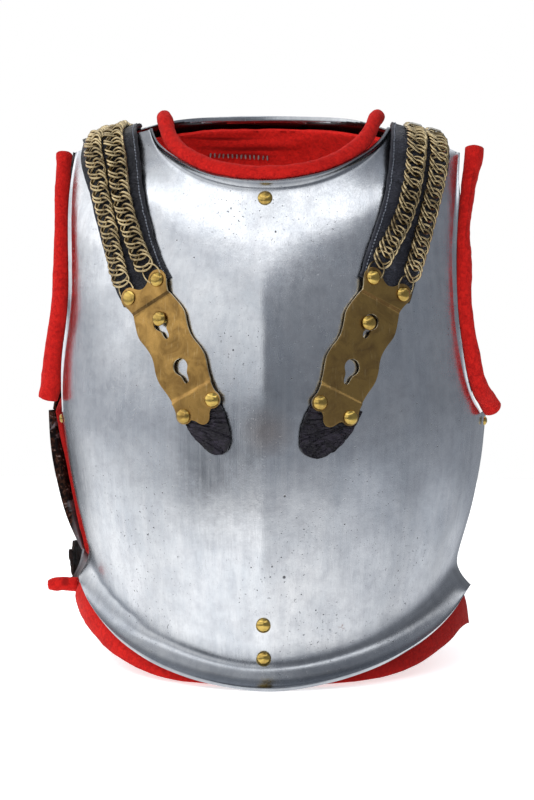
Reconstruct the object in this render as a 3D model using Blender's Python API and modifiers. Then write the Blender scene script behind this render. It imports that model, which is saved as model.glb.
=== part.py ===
"""A heavy-cavalry cuirass: a steel breastplate and backplate with red padded linings and
roll edging, and two leather shoulder straps that carry brass chains and hook plates.

Metres, +Z up. The front faces -Y. The origin is on the floor under the middle of the object.
"""
import math

import bmesh
import bpy
from mathutils import Matrix, Vector

PART_NAME = "cuirass"

# ---- walls and clearances --------------------------------------------------------------
BREAST_WALL = 0.0026
BACK_WALL = 0.0018
LINING_WALL = 0.0030
LINING_GAP = 0.0022
BACK_LINING_GAP = 0.0034
LEATHER_WALL = 0.0022
BRASS_WALL = 0.0018
GAP = 0.0004

# ---- how curves and outlines are divided, and where a shaded face turns sharp ------------
OUTLINE_STEPS = 40
EDGE_CURVE_STEPS = 10
ROLL_CURVE_STEPS = 4
STRAP_CURVE_STEPS = 6
SHARP_ANGLE = 35.0
CHAIN_SHARP_ANGLE = 60.0
TURNED_SHARP_ANGLE = 45.0
MERGE_DISTANCE = 0.00002
CUT_DISTANCE = 0.00001

# ---- level sections of the torso, from the waist to the neck ----------------------------
# half_width is where a section meets the side plane, depth is the reach of its centre line,
# square is the exponent of its oval, ridge is the height of the medial ridge, and aside is how
# far both sides, but not the centre line, are pushed to the wearer's left.
COLUMNS = ("height", "half_width", "depth", "square", "ridge", "aside")
BREAST_SECTIONS = (
    (0.000, 0.1420, 0.1240, 2.00, 0.0010, 0.0008),
    (0.050, 0.1440, 0.1330, 1.95, 0.0020, 0.0008),
    (0.084, 0.1510, 0.1390, 1.90, 0.0025, 0.0008),
    (0.124, 0.1620, 0.1440, 1.85, 0.0030, 0.0008),
    (0.193, 0.1735, 0.1480, 1.78, 0.0030, 0.0008),
    (0.250, 0.1760, 0.1450, 1.72, 0.0030, -0.0024),
    (0.300, 0.1745, 0.1365, 1.70, 0.0020, -0.0036),
    (0.340, 0.1720, 0.1250, 1.75, 0.0010, -0.0036),
    (0.365, 0.1700, 0.1140, 1.85, 0.0005, -0.0030),
    (0.388, 0.1670, 0.1010, 1.95, 0.0000, -0.0020),
    (0.410, 0.1640, 0.0770, 2.00, 0.0000, -0.0010),
    (0.434, 0.1600, 0.0440, 2.00, 0.0000, 0.0000),
)
BACK_SECTIONS = (
    (0.000, 0.1450, 0.1190, 2.40, 0.0000, 0.0),
    (0.030, 0.1460, 0.1200, 2.40, 0.0000, 0.0),
    (0.084, 0.1500, 0.1180, 2.35, 0.0000, 0.0),
    (0.124, 0.1590, 0.1210, 2.30, 0.0000, 0.0),
    (0.193, 0.1725, 0.1290, 2.30, 0.0000, 0.0),
    (0.250, 0.1750, 0.1340, 2.30, 0.0000, 0.0),
    (0.300, 0.1750, 0.1360, 2.30, 0.0000, 0.0),
    (0.340, 0.1740, 0.1340, 2.25, 0.0000, 0.0),
    (0.380, 0.1710, 0.1260, 2.15, 0.0000, 0.0),
    (0.403, 0.1640, 0.1170, 2.00, 0.0000, 0.0),
    (0.414, 0.1530, 0.1110, 2.00, 0.0000, 0.0),
    (0.430, 0.1060, 0.1000, 2.00, 0.0000, 0.0),
    (0.443, 0.0960, 0.0930, 2.00, 0.0000, 0.0),
)
RIDGE_SPREAD = math.radians(9.0)
BACK_SHIFT = -0.0095         # the backplate sits a little to one side of the breastplate

# ---- outlines of the plates on their right half: turn in degrees, height ----------------
# The crease above the flange stands a little higher on the left side.
BREAST_WAISTS = {
    "left": {"centre": 0.0200, "side": 0.0880, "power": 1.75},
    "right": {"centre": 0.0200, "side": 0.0825, "power": 1.75},
}
BREAST_SIDE_TURN = 80.0
BREAST_FLANK_HEIGHTS = (0.120, 0.160, 0.203)
# The two armholes of the breastplate were cut by hand and differ a little.
BREAST_ARMHOLES = {
    "left": ((80.0, 0.203), (78.0, 0.222), (75.0, 0.244), (72.0, 0.270), (70.8, 0.295),
             (72.6, 0.333), (75.2, 0.372), (78.5, 0.397), (81.0, 0.4126)),
    "right": ((80.0, 0.203), (74.0, 0.213), (70.0, 0.234), (68.0, 0.270), (67.8, 0.296),
              (69.3, 0.343), (71.5, 0.372), (75.0, 0.397), (79.0, 0.4126)),
}
BREAST_MARGIN_TURN = 87.5    # the narrow flat margin down each side ends here
BREAST_NECK = {"half_width": 0.0945, "front": 0.106, "side": 0.0385, "low": 0.380, "rise": 0.050}

BACK_WAIST = {"centre": 0.0300, "side": 0.0840, "power": 2.0}
BACK_FLANK = ((86.0, 0.084), (86.0, 0.120), (86.0, 0.160), (85.0, 0.200))
BACK_ARMHOLE = ((85.0, 0.200), (78.0, 0.219), (71.0, 0.252), (68.0, 0.295), (68.5, 0.340),
                (72.0, 0.380), (78.0, 0.403), (83.0, 0.4125))
BACK_NECK = {"half_width": 0.092, "front": 0.093, "side": 0.014, "low": 0.4380, "rise": -0.009}

# ---- turned edges: steps past the outline (along) and out from the surface (out) ---------
BREAST_NECK_LIP = ((0.0035, 0.0010), (0.0055, 0.0034), (0.0062, 0.0060))
BREAST_ARM_LIP = ((0.0020, 0.0005), (0.0035, 0.0022))
BACK_NECK_LIP = ((0.0030, 0.0006), (0.0055, 0.0026))
BACK_ARM_LIP = ((0.0028, 0.0008), (0.0045, 0.0030))
BACK_SIDE_FLARE = ((0.0030, 0.0020), (0.0045, 0.0070))
# A turned edge fades over this share of its run, to these shares of its size at its two ends.
LIP_FADE_RUN = 0.22
NECK_LIP_ENDS = (0.25, 0.25)
BREAST_ARM_LIP_ENDS = (0.25, 0.4)
BACK_ARM_LIP_ENDS = (0.3, 0.4)
BACK_SIDE_FLARE_ENDS = (0.1, 0.6)
# The waist flanges: steps out and down at the centre line, at the left side and at the right.
BREAST_FLANGE = (
    (0.0012, 0.0060, 0.0008, 0.0070, 0.0010, 0.0070),
    (0.0060, 0.0122, 0.0034, 0.0138, 0.0045, 0.0138),
    (0.0130, 0.0168, 0.0072, 0.0200, 0.0100, 0.0200),
    (0.0165, 0.0173, 0.0092, 0.0222, 0.0125, 0.0222),
)
LINING_BAND = (
    (-0.0040, 0.0060, -0.0056, 0.0070, -0.0056, 0.0070),
    (-0.0030, 0.0120, 0.0020, 0.0210, 0.0020, 0.0200),
    (-0.0010, 0.0135, 0.0090, 0.0350, 0.0090, 0.0360),
    (0.0000, 0.0150, 0.0110, 0.0540, 0.0110, 0.0540),
)
# How much further out each row of the band stands at its left end, and how soon that fades.
BAND_CORNER = (0.0, 0.0, 0.0060, -0.0025)
BAND_CORNER_POWER = 8
BAND_END_TURN = 87.0
BAND_SHARE_POWER = 0.66
FLANGE_SHARE_POWER = 1.5
FLOOR_CLEARANCE = 0.0028
BACK_FLANGE = (
    (0.0020, 0.0100, 0.0015, 0.0090, 0.0015, 0.0090),
    (0.0075, 0.0200, 0.0050, 0.0170, 0.0050, 0.0170),
    (0.0160, 0.0300, 0.0085, 0.0230, 0.0085, 0.0230),
    (0.0270, 0.0300, 0.0110, 0.0240, 0.0110, 0.0240),
)

# ---- how finely the plates are faceted: columns at neck and shoulder, rows at flank and arm
BREAST_FACETS = (8, 3, 5, 9)
BACK_FACETS = (6, 3, 4, 8)
LINING_FACETS = (5, 2, 4, 6)

# ---- the red rolls: centre line past the outline, radius along it -----------------------
NECK_ROLL_RADIUS = 0.0060
NECK_ROLL_STEP = (0.0150, 0.0038)
NECK_ROLL_TAIL = (0.002, 0.010, 0.003)
NECK_ROLL_PIECES = 24
# Evenly spaced from the armpit up: step past the edge, step out from the surface, radius.
ARM_ROLL = {
    "left": ((0.0128, 0.0056, 0.0086), (0.0126, 0.0056, 0.0084), (0.0118, 0.0054, 0.0074),
             (0.0108, 0.0050, 0.0062), (0.0104, 0.0048, 0.0059), (0.0102, 0.0045, 0.0058),
             (0.0102, 0.0046, 0.0060), (0.0108, 0.0054, 0.0067)),
    "right": ((0.0125, 0.0046, 0.0082), (0.0122, 0.0042, 0.0074), (0.0116, 0.0040, 0.0064),
              (0.0106, 0.0036, 0.0058), (0.0104, 0.0036, 0.0058), (0.0104, 0.0036, 0.0058),
              (0.0112, 0.0048, 0.0068), (0.0120, 0.0068, 0.0080)),
}
ARM_ROLL_SKIP = {"left": 1, "right": 0}
ARM_ROLL_TAIL = {"left": (-0.0035, 0.002, -0.0125), "right": (0.0028, 0.002, -0.0062)}
ARM_ROLL_TOP = {"left": (0.0, 0.009, 0.017), "right": (0.002, 0.009, 0.022)}
ARM_ROLL_PIECES = 18
ROLL_FACETS = (9, 4, 6, 11)

BAND_CURL = ((-0.1672, -0.0020, 0.0580), (-0.1730, -0.0020, 0.0572), (-0.1790, -0.0010, 0.0562),
             (-0.1855, 0.0000, 0.0556))
BAND_CURL_PIECES = 5
BAND_CURL_RADIUS = 0.0056
BAND_CURL_END_SIZE = 0.75

# ---- rivets, studs and small leather ------------------------------------------------------
RIVET_RADIUS = 0.0060
RIVET_HEIGHT = 0.0036
FLAT_RIVET = ("rivet_ear_outer_left", 0.0016)   # this one is a flat disc of the given height
STUD_NECK_RADIUS = 0.0026
STUD_CLEARANCE = 0.0016
# The studs stand off centre in their keyholes: towards the neck and down.
STUD_OFFSET = {"left": (0.0016, -0.0030), "right": (0.0022, 0.0022)}
# Name, turn in degrees and height on the breastplate, lift of the head's base, and size.
BREAST_RIVETS = (
    ("rivet_neck", 0.0, 0.3765, 0.0, 1.0),
    ("rivet_waist", 0.0, 0.0495, 0.0, 1.0),
    ("rivet_flange", 0.0, 0.0228, 0.0014, 1.0),
    ("rivet_side_left", -83.8, 0.1965, 0.0, 0.62),
    ("rivet_side_right", 83.8, 0.1965, 0.0, 0.62),
)
# Turn in degrees on the backplate, lower and upper edge.
BELT_STUB = ((84.5, 0.062, 0.085), (82.0, 0.058, 0.083), (79.0, 0.061, 0.090), (75.5, 0.066, 0.086),
             (72.5, 0.064, 0.076))
BELT_LIFT = 0.0098
BELT_WALL = 0.0028
BELT_RIVET = (80.0, 0.074)
BELT_RIVET_SIZE = 0.7

# ---- the back lining stops below the collar and runs past the side seam ------------------
BACK_LINING_DROP = 0.0020
BACK_LINING_TURN = 91.3

# ---- the straps --------------------------------------------------------------------------
# On the breastplate, from the ear rivets to the shoulder: turn in degrees, height and lift.
STRAP_FRONT = {
    "left": ((-39.9, 0.3060, 0.0010), (-44.1, 0.3205, 0.0010), (-50.7, 0.3510, 0.0010),
             (-57.5, 0.3816, 0.0016), (-62.4, 0.3966, 0.0036), (-70.8, 0.4145, 0.0064)),
    "right": ((41.7, 0.3086, 0.0010), (43.8, 0.3209, 0.0010), (50.8, 0.3512, 0.0010),
              (57.0, 0.3816, 0.0016), (61.0, 0.3965, 0.0038), (67.4, 0.4145, 0.0072)),
}
HOOK_FOOT = {"left": (-18.9, 0.2179), "right": (21.3, 0.2166)}
# The leather tips, towards the neck: where each starts, how far its point leans, and its width.
TIP_SHIFT = {"left": 0.0, "right": -0.0020}
TIP_LEAN = {"left": -0.0010, "right": 0.0020}
TIP_HALF_WIDTH = {"left": 0.0162, "right": 0.0196}
# Over the shoulder: backward and upward; then turn, height and lift on the backplate.
STRAP_ARCH = {
    "left": ((-0.022, 0.4274), (0.002, 0.4284), (0.026, 0.4280)),
    "right": ((-0.022, 0.4252), (0.002, 0.4242), (0.026, 0.4234)),
}
ARCH_ASIDE = {"left": 0.1300, "right": 0.1180}
ARCH_LEVEL_ASIDE = 0.1265
STRAP_BACK = ((64.0, 0.4130, 0.0034), (55.0, 0.3985, 0.0020), (49.0, 0.3740, 0.0012),
              (45.5, 0.3480, 0.0010), (43.0, 0.3230, 0.0010))
SHOULDER_SLOPE = 0.29
ARCH_TIPPING = 8.0           # how fast the strap tips over from front to back on the shoulder
# The straps lie flat across the shoulder and follow the plates beyond this distance from it.
FLAT_REACH = 0.017
STRAP_HALF_WIDTH = 0.0235
STRAP_LIFT = 0.0010
CHAIN_HALF_WIDTH = 0.0074
CHAIN_HALF_HEIGHT = 0.0024
# Each chain's distance towards the neck from the strap's centre line, at the ears and above.
CHAIN_LANES = {
    "left": {"outer": (-0.0138, -0.0105), "inner": (0.0138, 0.0105)},
    "right": {"outer": (-0.0155, -0.0138), "inner": (0.0138, 0.0064)},
}
CHAIN_START = 0.0095
CHAIN_SIDES = 6
CHAIN_CLEARANCE = 0.0012
CHAIN_TAIL = 0.0400
CHAIN_SPREAD_LENGTH = 0.0700
STRAP_START = 0.0030
STRAP_PIECES = 24
STRAP_COLUMNS = (-1.0, -0.5, 0.0, 0.5, 1.0)
REAR_PLATE_LENGTH = 0.0380
REAR_PLATE_HALF_WIDTH = 0.0225
REAR_CLEARANCE = 0.0006

# ---- the hook plates, measured down from the line of the ear rivets ----------------------
EAR_SPACING = 0.0140
EAR_RADIUS = 0.0083
FOOT_SPACING = 0.0131
FOOT_RADIUS = 0.0068
PLATE_BOW = 0.0026           # how far the middle of the plate bends towards the neck
UPPER_FOLD = 0.0125
LOWER_FOLD = 0.0920
FOOT_LINE = 0.1045
EAR_ARC = (165, -50)         # degrees round an ear; 0 points outward and 90 points up
FOOT_ARC = (50, -130)
KEYHOLES = (0.0315, 0.0698)
KEYHOLE_RADIUS = 0.0066
SLOT_HALF_WIDTH = 0.0027
SLOT_REACH = 0.0115
WAVE_MEAN = 0.0202
WAVE_HEIGHT = 0.0025
WAVE_PITCH = 0.0386
PLATE_LIFT_ON_LEATHER = 0.0038
PLATE_LIFT_BETWEEN = 0.0022
FOLD_LENGTH = 0.0020
NOTCH_DOWN = 0.0010
CUSP = ((0.0060, 0.1128), (0.0042, 0.1168), (0.0, 0.1188))   # its outline from the foot down
# Where the flat plate and the flat tip are sliced, so that they can bend over the chest.
PLATE_CUTS_DOWN = (0.0385, 0.0640)
PLATE_CUTS_ACROSS = (-0.011, 0.0, 0.011)
TIP_CUTS_DOWN = (0.108, 0.120, 0.132)
TIP_CUTS_ACROSS = (-0.008, 0.0, 0.008)
TIP_START = 0.0960
TIP_STRAIGHT = 0.1080
TIP_END = 0.1445


# ======================================================================= curves and surfaces
def interpolate(rows, name, height):
    """Value of the named column at a height, on a smooth curve through the rows."""
    column = COLUMNS.index(name)
    last = len(rows) - 1
    height = min(max(height, rows[0][0]), rows[last][0])
    low = 0
    while low < last - 1 and rows[low + 1][0] < height:
        low += 1
    below, above = rows[low], rows[low + 1]
    span = above[0] - below[0]

    def slope(index):
        first = rows[max(index - 1, 0)]
        second = rows[min(index + 1, last)]
        return (second[column] - first[column]) / (second[0] - first[0])

    t = (height - below[0]) / span
    hold_below = 2 * t ** 3 - 3 * t ** 2 + 1
    hold_above = 3 * t ** 2 - 2 * t ** 3
    lead_below = t ** 3 - 2 * t ** 2 + t
    lead_above = t ** 3 - t ** 2
    return (hold_below * below[column] + hold_above * above[column]
            + span * (lead_below * slope(low) + lead_above * slope(low + 1)))


class Torso:
    """The outer face of one plate, over spots (turn from its centre line, height)."""

    def __init__(self, sections, facing, shift=0.0):
        self.sections = sections
        self.facing = facing
        self.shift = shift
        self.hand = -facing          # 1 where rows run to the right as seen from outside

    def at(self, spot):
        """The point of the outer face at a spot."""
        turn, height = spot
        power = interpolate(self.sections, "square", height)
        half_width = interpolate(self.sections, "half_width", height)
        depth = interpolate(self.sections, "depth", height)
        ridge = interpolate(self.sections, "ridge", height)
        aside = interpolate(self.sections, "aside", height)
        across, along = math.sin(turn), math.cos(turn)
        reach = ((abs(across) / half_width) ** power + (abs(along) / depth) ** power) ** (-1 / power)
        crest = ridge * math.exp(-abs(turn) / RIDGE_SPREAD)
        sideways = self.shift + reach * across + aside * across ** 2
        return Vector((sideways, self.facing * (reach * along + crest), height))

    def slopes(self, spot):
        """The surface's change for each radian of turn and each metre of height."""
        turn, height = spot
        step, rise = math.radians(0.5), 0.0008
        around = self.at((turn + step, height)) - self.at((turn - step, height))
        up = self.at((turn, height + rise)) - self.at((turn, height - rise))
        return around / (2 * step), up / (2 * rise)

    def normal(self, spot):
        """The direction that faces out of the torso at a spot."""
        around, up = self.slopes(spot)
        return (around.cross(up) * -self.facing).normalized()

    def walk(self, spot, move):
        """The spot reached from another by a short move along the surface."""
        around, up = self.slopes(spot)
        aa, ab, bb = around.dot(around), around.dot(up), up.dot(up)
        am, bm = around.dot(move), up.dot(move)
        spread = aa * bb - ab * ab
        return (spot[0] + (am * bb - bm * ab) / spread, spot[1] + (bm * aa - am * ab) / spread)

    def over(self, spot, lift):
        """The point that stands off the surface by the given lift."""
        return self.at(spot) + self.normal(spot) * lift

    def under(self, point):
        """The spot right below a point that stands a little off the surface."""
        spot = Vector((math.atan2(point.x - self.shift, point.y * self.facing), point.z))
        for _ in range(4):
            spot = Vector(self.walk(spot, point - self.at(spot)))
        return spot


def smooth(points, steps):
    """A Catmull-Rom curve through tuples or vectors, with the given steps for each span."""
    points = [Vector(point) for point in points]
    curve = []
    for index in range(len(points) - 1):
        before = points[max(index - 1, 0)]
        start, end = points[index], points[index + 1]
        after = points[min(index + 2, len(points) - 1)]
        for step in range(steps):
            t = step / steps
            bend = (2 * start + (end - before) * t
                    + (2 * before - 5 * start + 4 * end - after) * t ** 2
                    + (3 * start - before - 3 * end + after) * t ** 3)
            curve.append(bend / 2)
    curve.append(points[-1])
    return curve


def even(points, pieces, place=None):
    """Points at equal distances along a polyline, measured where place() puts them."""
    measured = [place(point) if place else point for point in points]
    travelled = [0.0]
    for index in range(1, len(points)):
        travelled.append(travelled[-1] + (measured[index] - measured[index - 1]).length)
    result = []
    index = 0
    for piece in range(pieces + 1):
        target = travelled[-1] * piece / pieces
        while index < len(points) - 2 and travelled[index + 1] < target:
            index += 1
        span = travelled[index + 1] - travelled[index]
        share = (target - travelled[index]) / span
        result.append(points[index].lerp(points[index + 1], min(max(share, 0.0), 1.0)))
    return result


def outline(torso, rows, pieces):
    """Evenly spaced spots along a table of turn in degrees and height."""
    spots = [(math.radians(turn), height) for turn, height in rows]
    return even(smooth(spots, EDGE_CURVE_STEPS), pieces, torso.at)


def neck_outline(torso, neck, pieces):
    """Spots round the half neck opening, which lies in one sloping plane."""
    spots = []
    for step in range(OUTLINE_STEPS + 1):
        angle = math.radians(90) * step / OUTLINE_STEPS
        x = neck["half_width"] * math.sin(angle)
        y = neck["side"] + (neck["front"] - neck["side"]) * math.cos(angle)
        height = neck["low"] + neck["rise"] * (1 - math.cos(angle))
        spots.append(Vector((math.atan2(x, y), height)))
    return even(spots, pieces, torso.at)


def waist_outline(torso, waist, side_turn, pieces):
    """Spots along the crease above the flange, which rises from the centre to the side."""
    spots = []
    for step in range(OUTLINE_STEPS + 1):
        share = step / OUTLINE_STEPS
        height = waist["centre"] + (waist["side"] - waist["centre"]) * share ** waist["power"]
        spots.append(Vector((side_turn * share, height)))
    return even(spots, pieces, torso.at)


def coons(bottom, top, centre, side):
    """A grid of spots that fills four borders; each row runs from the centre to the side."""
    columns, rows = len(bottom) - 1, len(centre) - 1
    grid = []
    for row in range(rows + 1):
        v = row / rows
        line = []
        for column in range(columns + 1):
            u = column / columns
            rulings = (bottom[column] * (1 - v) + top[column] * v
                       + centre[row] * (1 - u) + side[row] * u)
            corners = ((bottom[0] * (1 - u) + bottom[-1] * u) * (1 - v)
                       + (top[0] * (1 - u) + top[-1] * u) * v)
            line.append(rulings - corners)
        grid.append(line)
    return grid


def plate_grid(torso, waist, flank, neck, armhole, facets):
    """Spots over the right half of a plate, with its corners on grid lines."""
    neck_columns, shoulder_columns, flank_rows, armhole_rows = facets
    bottom = waist_outline(torso, waist, math.radians(flank[0][0]), neck_columns + shoulder_columns)
    round_neck = neck_outline(torso, neck, neck_columns)
    shoulder_end = Vector((math.radians(armhole[-1][0]), armhole[-1][1]))
    shoulder = even([round_neck[-1], shoulder_end], shoulder_columns, torso.at)
    side = outline(torso, flank, flank_rows) + outline(torso, armhole, armhole_rows)[1:]
    centre = even([bottom[0], round_neck[0]], flank_rows + armhole_rows, torso.at)
    return coons(bottom, round_neck + shoulder[1:], centre, side)


def edge_frames(torso, edge, hand):
    """Point, outward step and surface normal at each spot along an edge of a plate.

    hand is 1 where the plate lies to the right of the edge as it is walked, seen from outside,
    and -1 where it lies to the left.
    """
    points = [torso.at(spot) for spot in edge]
    frames = []
    for index, spot in enumerate(edge):
        ahead = points[min(index + 1, len(points) - 1)]
        behind = points[max(index - 1, 0)]
        normal = torso.normal(spot)
        outward = normal.cross(ahead - behind) * hand
        if spot[0] == 0.0:
            outward.x = 0.0
        frames.append((points[index], outward.normalized(), normal))
    return frames


def fade(index, count, start, end):
    """A share that rises from start to 1 at the middle of a run, and falls to end."""
    share = index / count
    rise = min(share / LIP_FADE_RUN, 1.0)
    fall = min((1 - share) / LIP_FADE_RUN, 1.0)
    rise = rise * rise * (3 - 2 * rise)
    fall = fall * fall * (3 - 2 * fall)
    return (start + (1 - start) * rise) * (end + (1 - end) * fall)


# ================================================================================== materials
def material(name, colour, roughness, metallic):
    """A named plain finish, made once."""
    made = bpy.data.materials.get(name)
    if made is None:
        made = bpy.data.materials.new(name)
        made.use_nodes = True
        shader = made.node_tree.nodes["Principled BSDF"]
        shader.inputs["Base Color"].default_value = (*colour, 1.0)
        shader.inputs["Roughness"].default_value = roughness
        shader.inputs["Metallic"].default_value = metallic
        made.diffuse_color = (*colour, 1.0)
    return made


def steel():
    return material("polished_steel", (0.56, 0.59, 0.63), 0.28, 1.0)


def red_wool():
    return material("red_wool", (0.66, 0.03, 0.03), 0.90, 0.0)


def strap_leather_finish():
    return material("strap_leather", (0.03, 0.035, 0.055), 0.55, 0.0)


def belt_leather():
    return material("belt_leather", (0.09, 0.04, 0.03), 0.75, 0.0)


def plate_brass():
    return material("aged_brass", (0.42, 0.27, 0.10), 0.42, 1.0)


def rivet_brass():
    return material("bright_brass", (0.72, 0.53, 0.20), 0.28, 1.0)


def chain_brass():
    return material("chain_brass", (0.45, 0.37, 0.24), 0.40, 1.0)


# ============================================================================== mesh building
def collection(name):
    """A named collection, made once."""
    found = bpy.data.collections.get(name)
    if found is None:
        found = bpy.data.collections.new(name)
        bpy.context.scene.collection.children.link(found)
    return found


def place(name, mesh, finish, matrix=None):
    """A named object of the cuirass, from a mesh and its material."""
    if not mesh.materials:
        mesh.materials.append(finish)
    made = bpy.data.objects.new(name, mesh)
    if matrix is not None:
        made.matrix_world = matrix
    collection(PART_NAME).objects.link(made)
    return made


def finish_mesh(name, bm, sharp_angle=SHARP_ANGLE):
    """The mesh of a finished bmesh, smooth except across edges sharper than the angle."""
    mesh = bpy.data.meshes.new(name)
    bm.to_mesh(mesh)
    bm.free()
    mesh.shade_smooth()
    mesh.set_sharp_from_angle(angle=math.radians(sharp_angle))
    return mesh


def add_row(bm, points):
    """One new vertex for each point."""
    return [bm.verts.new(point) for point in points]


def stitch(bm, first, second, flip=False):
    """Four-sided faces between two rows of vertices."""
    for index in range(len(first) - 1):
        corners = [first[index], first[index + 1], second[index + 1], second[index]]
        if flip:
            corners.reverse()
        bm.faces.new(corners)


def add_lip(bm, border, frames, steps, flip, strength=None):
    """A turned edge that grows from a row of vertices, step by step."""
    below = border
    for along, out in steps:
        points = []
        for index, (point, outward, normal) in enumerate(frames):
            share = strength(index) if strength else 1.0
            points.append(point + (outward * along + normal * out) * share)
        above = add_row(bm, points)
        stitch(bm, below, above, flip)
        below = above
    return below


def flange_rows(torso, crease, table, power=FLANGE_SHARE_POWER, floor=0.0, corner=None):
    """Rows of points for a waist flange that grows out and down from its crease."""
    rows = []
    last = len(crease) - 1
    for row, (centre_out, centre_down, *sides) in enumerate(table):
        points = []
        for index, spot in enumerate(crease):
            side_out, side_down = sides[:2] if spot[0] < 0 else sides[2:]
            share = abs(2 * index / last - 1) ** power
            normal = torso.normal(spot)
            level = Vector((normal.x, normal.y, 0)).normalized()
            out = centre_out + (side_out - centre_out) * share
            if corner and spot[0] < 0:
                out += corner[row] * share ** BAND_CORNER_POWER
            down = centre_down + (side_down - centre_down) * share
            point = torso.at(spot) + level * out
            point.z = max(point.z - down, floor)
            if spot[0] == 0.0:
                point.x = torso.shift
            points.append(point)
        rows.append(points)
    return rows


def thicken(made, wall):
    """Gives a sheet its wall, on its inner side."""
    shell = made.modifiers.new("wall", "SOLIDIFY")
    shell.thickness = wall
    shell.offset = -1.0
    shell.use_even_offset = True


# ===================================================================================== plates
BREAST = Torso(BREAST_SECTIONS, -1)
BACK = Torso(BACK_SECTIONS, 1, BACK_SHIFT)


def breast_grid(facets):
    """Spots over the whole breastplate, whose halves differ at the waist and the armhole."""
    halves = []
    for side in ("left", "right"):
        waist = BREAST_WAISTS[side]
        flank = [(BREAST_SIDE_TURN, height) for height in (waist["side"],) + BREAST_FLANK_HEIGHTS]
        halves.append(plate_grid(BREAST, waist, flank, BREAST_NECK, BREAST_ARMHOLES[side], facets))
    return whole(*halves)


def back_grid(facets):
    """Spots over the whole backplate, whose halves are alike."""
    half = plate_grid(BACK, BACK_WAIST, BACK_FLANK, BACK_NECK, BACK_ARMHOLE, facets)
    return whole(half, half)


def whole(left_half, right_half):
    """The grid of both halves, from the left side to the right side."""
    grid = []
    for left, right in zip(left_half, right_half):
        grid.append([Vector((-turn, height)) for turn, height in reversed(left[1:])] + right)
    return grid


def column_of(grid, column, start=0, end=None):
    """Part of one column of a grid, from the bottom up."""
    return [line[column] for line in grid[start:end]]


def neck_part(row, neck_columns):
    """The middle of a top row, which borders the neck opening."""
    middle = len(row) // 2
    return row[middle - neck_columns:middle + neck_columns + 1]


def sheet_from_grid(bm, torso, grid, lift, flip):
    """Vertices and faces over a whole grid of spots, at a lift from the torso's outer face."""
    rows = [add_row(bm, [torso.over(spot, lift) for spot in line]) for line in grid]
    for below, above in zip(rows, rows[1:]):
        stitch(bm, below, above, flip)
    return rows


def hang_flange(bm, border, rows, flip):
    """A flange that grows down from a border, row by row."""
    above = border
    for points in rows:
        below = add_row(bm, points)
        stitch(bm, below, above, flip)
        above = below


def neck_lip(bm, torso, grid, rows, steps, neck_columns, flip):
    """The turned edge of the neck opening."""
    frames = edge_frames(torso, neck_part(grid[-1], neck_columns), torso.hand)
    add_lip(bm, neck_part(rows[-1], neck_columns), frames, steps, flip,
            lambda index: fade(index, 2 * neck_columns, *NECK_LIP_ENDS))


def side_lips(bm, torso, grid, rows, steps, start, end, ends, flip):
    """A turned edge on part of the left border and of the right border."""
    for column, hand, turned_over in ((-1, -torso.hand, not flip), (0, torso.hand, flip)):
        frames = edge_frames(torso, column_of(grid, column, start, end), hand)
        border = [row[column] for row in rows[start:end]]
        add_lip(bm, border, frames, steps, turned_over,
                lambda index, last=len(border) - 1: fade(index, last, *ends))


def breastplate():
    """The front plate with its side margins, waist flange and turned edges."""
    neck_columns, _, flank_rows, _ = BREAST_FACETS
    grid = breast_grid(BREAST_FACETS)
    bm = bmesh.new()
    rows = sheet_from_grid(bm, BREAST, grid, 0.0, False)

    ends = []
    for column, side in ((0, -1), (-1, 1)):
        turn = math.radians(BREAST_MARGIN_TURN) * side
        spots = [Vector((turn, line[column][1])) for line in grid[:flank_rows + 1]]
        margin = add_row(bm, [BREAST.at(spot) for spot in spots])
        stitch(bm, [row[column] for row in rows[:flank_rows + 1]], margin, flip=side > 0)
        ends.append((spots[0], margin[0]))

    crease = [ends[0][0]] + grid[0] + [ends[1][0]]
    border = [ends[0][1]] + rows[0] + [ends[1][1]]
    hang_flange(bm, border, flange_rows(BREAST, crease, BREAST_FLANGE), False)
    neck_lip(bm, BREAST, grid, rows, BREAST_NECK_LIP, neck_columns, False)
    side_lips(bm, BREAST, grid, rows, BREAST_ARM_LIP, flank_rows, None, BREAST_ARM_LIP_ENDS,
              False)
    made = place("breastplate", finish_mesh("breastplate", bm), steel())
    thicken(made, BREAST_WALL)


def backplate():
    """The rear plate with its waist flange, turned edges and flared sides."""
    neck_columns, _, flank_rows, _ = BACK_FACETS
    grid = back_grid(BACK_FACETS)
    bm = bmesh.new()
    rows = sheet_from_grid(bm, BACK, grid, 0.0, True)
    flange = flange_rows(BACK, grid[0], BACK_FLANGE, floor=BACK_WALL)
    hang_flange(bm, rows[0], flange, True)
    neck_lip(bm, BACK, grid, rows, BACK_NECK_LIP, neck_columns, True)
    side_lips(bm, BACK, grid, rows, BACK_ARM_LIP, flank_rows, None, BACK_ARM_LIP_ENDS, True)
    side_lips(bm, BACK, grid, rows, BACK_SIDE_FLARE, 0, flank_rows + 1, BACK_SIDE_FLARE_ENDS, True)
    made = place("backplate", finish_mesh("backplate", bm), steel())
    thicken(made, BACK_WALL)


# ==================================================================================== linings
def breast_lining():
    """The wool inside the breastplate, with the band that hangs out below its flange."""
    depth = BREAST_WALL + LINING_GAP
    grid = breast_grid(LINING_FACETS)
    bm = bmesh.new()
    rows = sheet_from_grid(bm, BREAST, grid, -depth, False)
    turn = math.radians(BAND_END_TURN)
    ends = [Vector((-turn, grid[0][0][1])), Vector((turn, grid[0][-1][1]))]
    corners = add_row(bm, [BREAST.over(spot, -depth) for spot in ends])
    crease = [ends[0]] + grid[0] + [ends[1]]
    border = [corners[0]] + rows[0] + [corners[1]]
    band = flange_rows(BREAST, crease, LINING_BAND, BAND_SHARE_POWER, FLOOR_CLEARANCE, BAND_CORNER)
    hang_flange(bm, border, band, False)
    made = place("breast_lining", finish_mesh("breast_lining", bm), red_wool())
    thicken(made, LINING_WALL)


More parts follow.
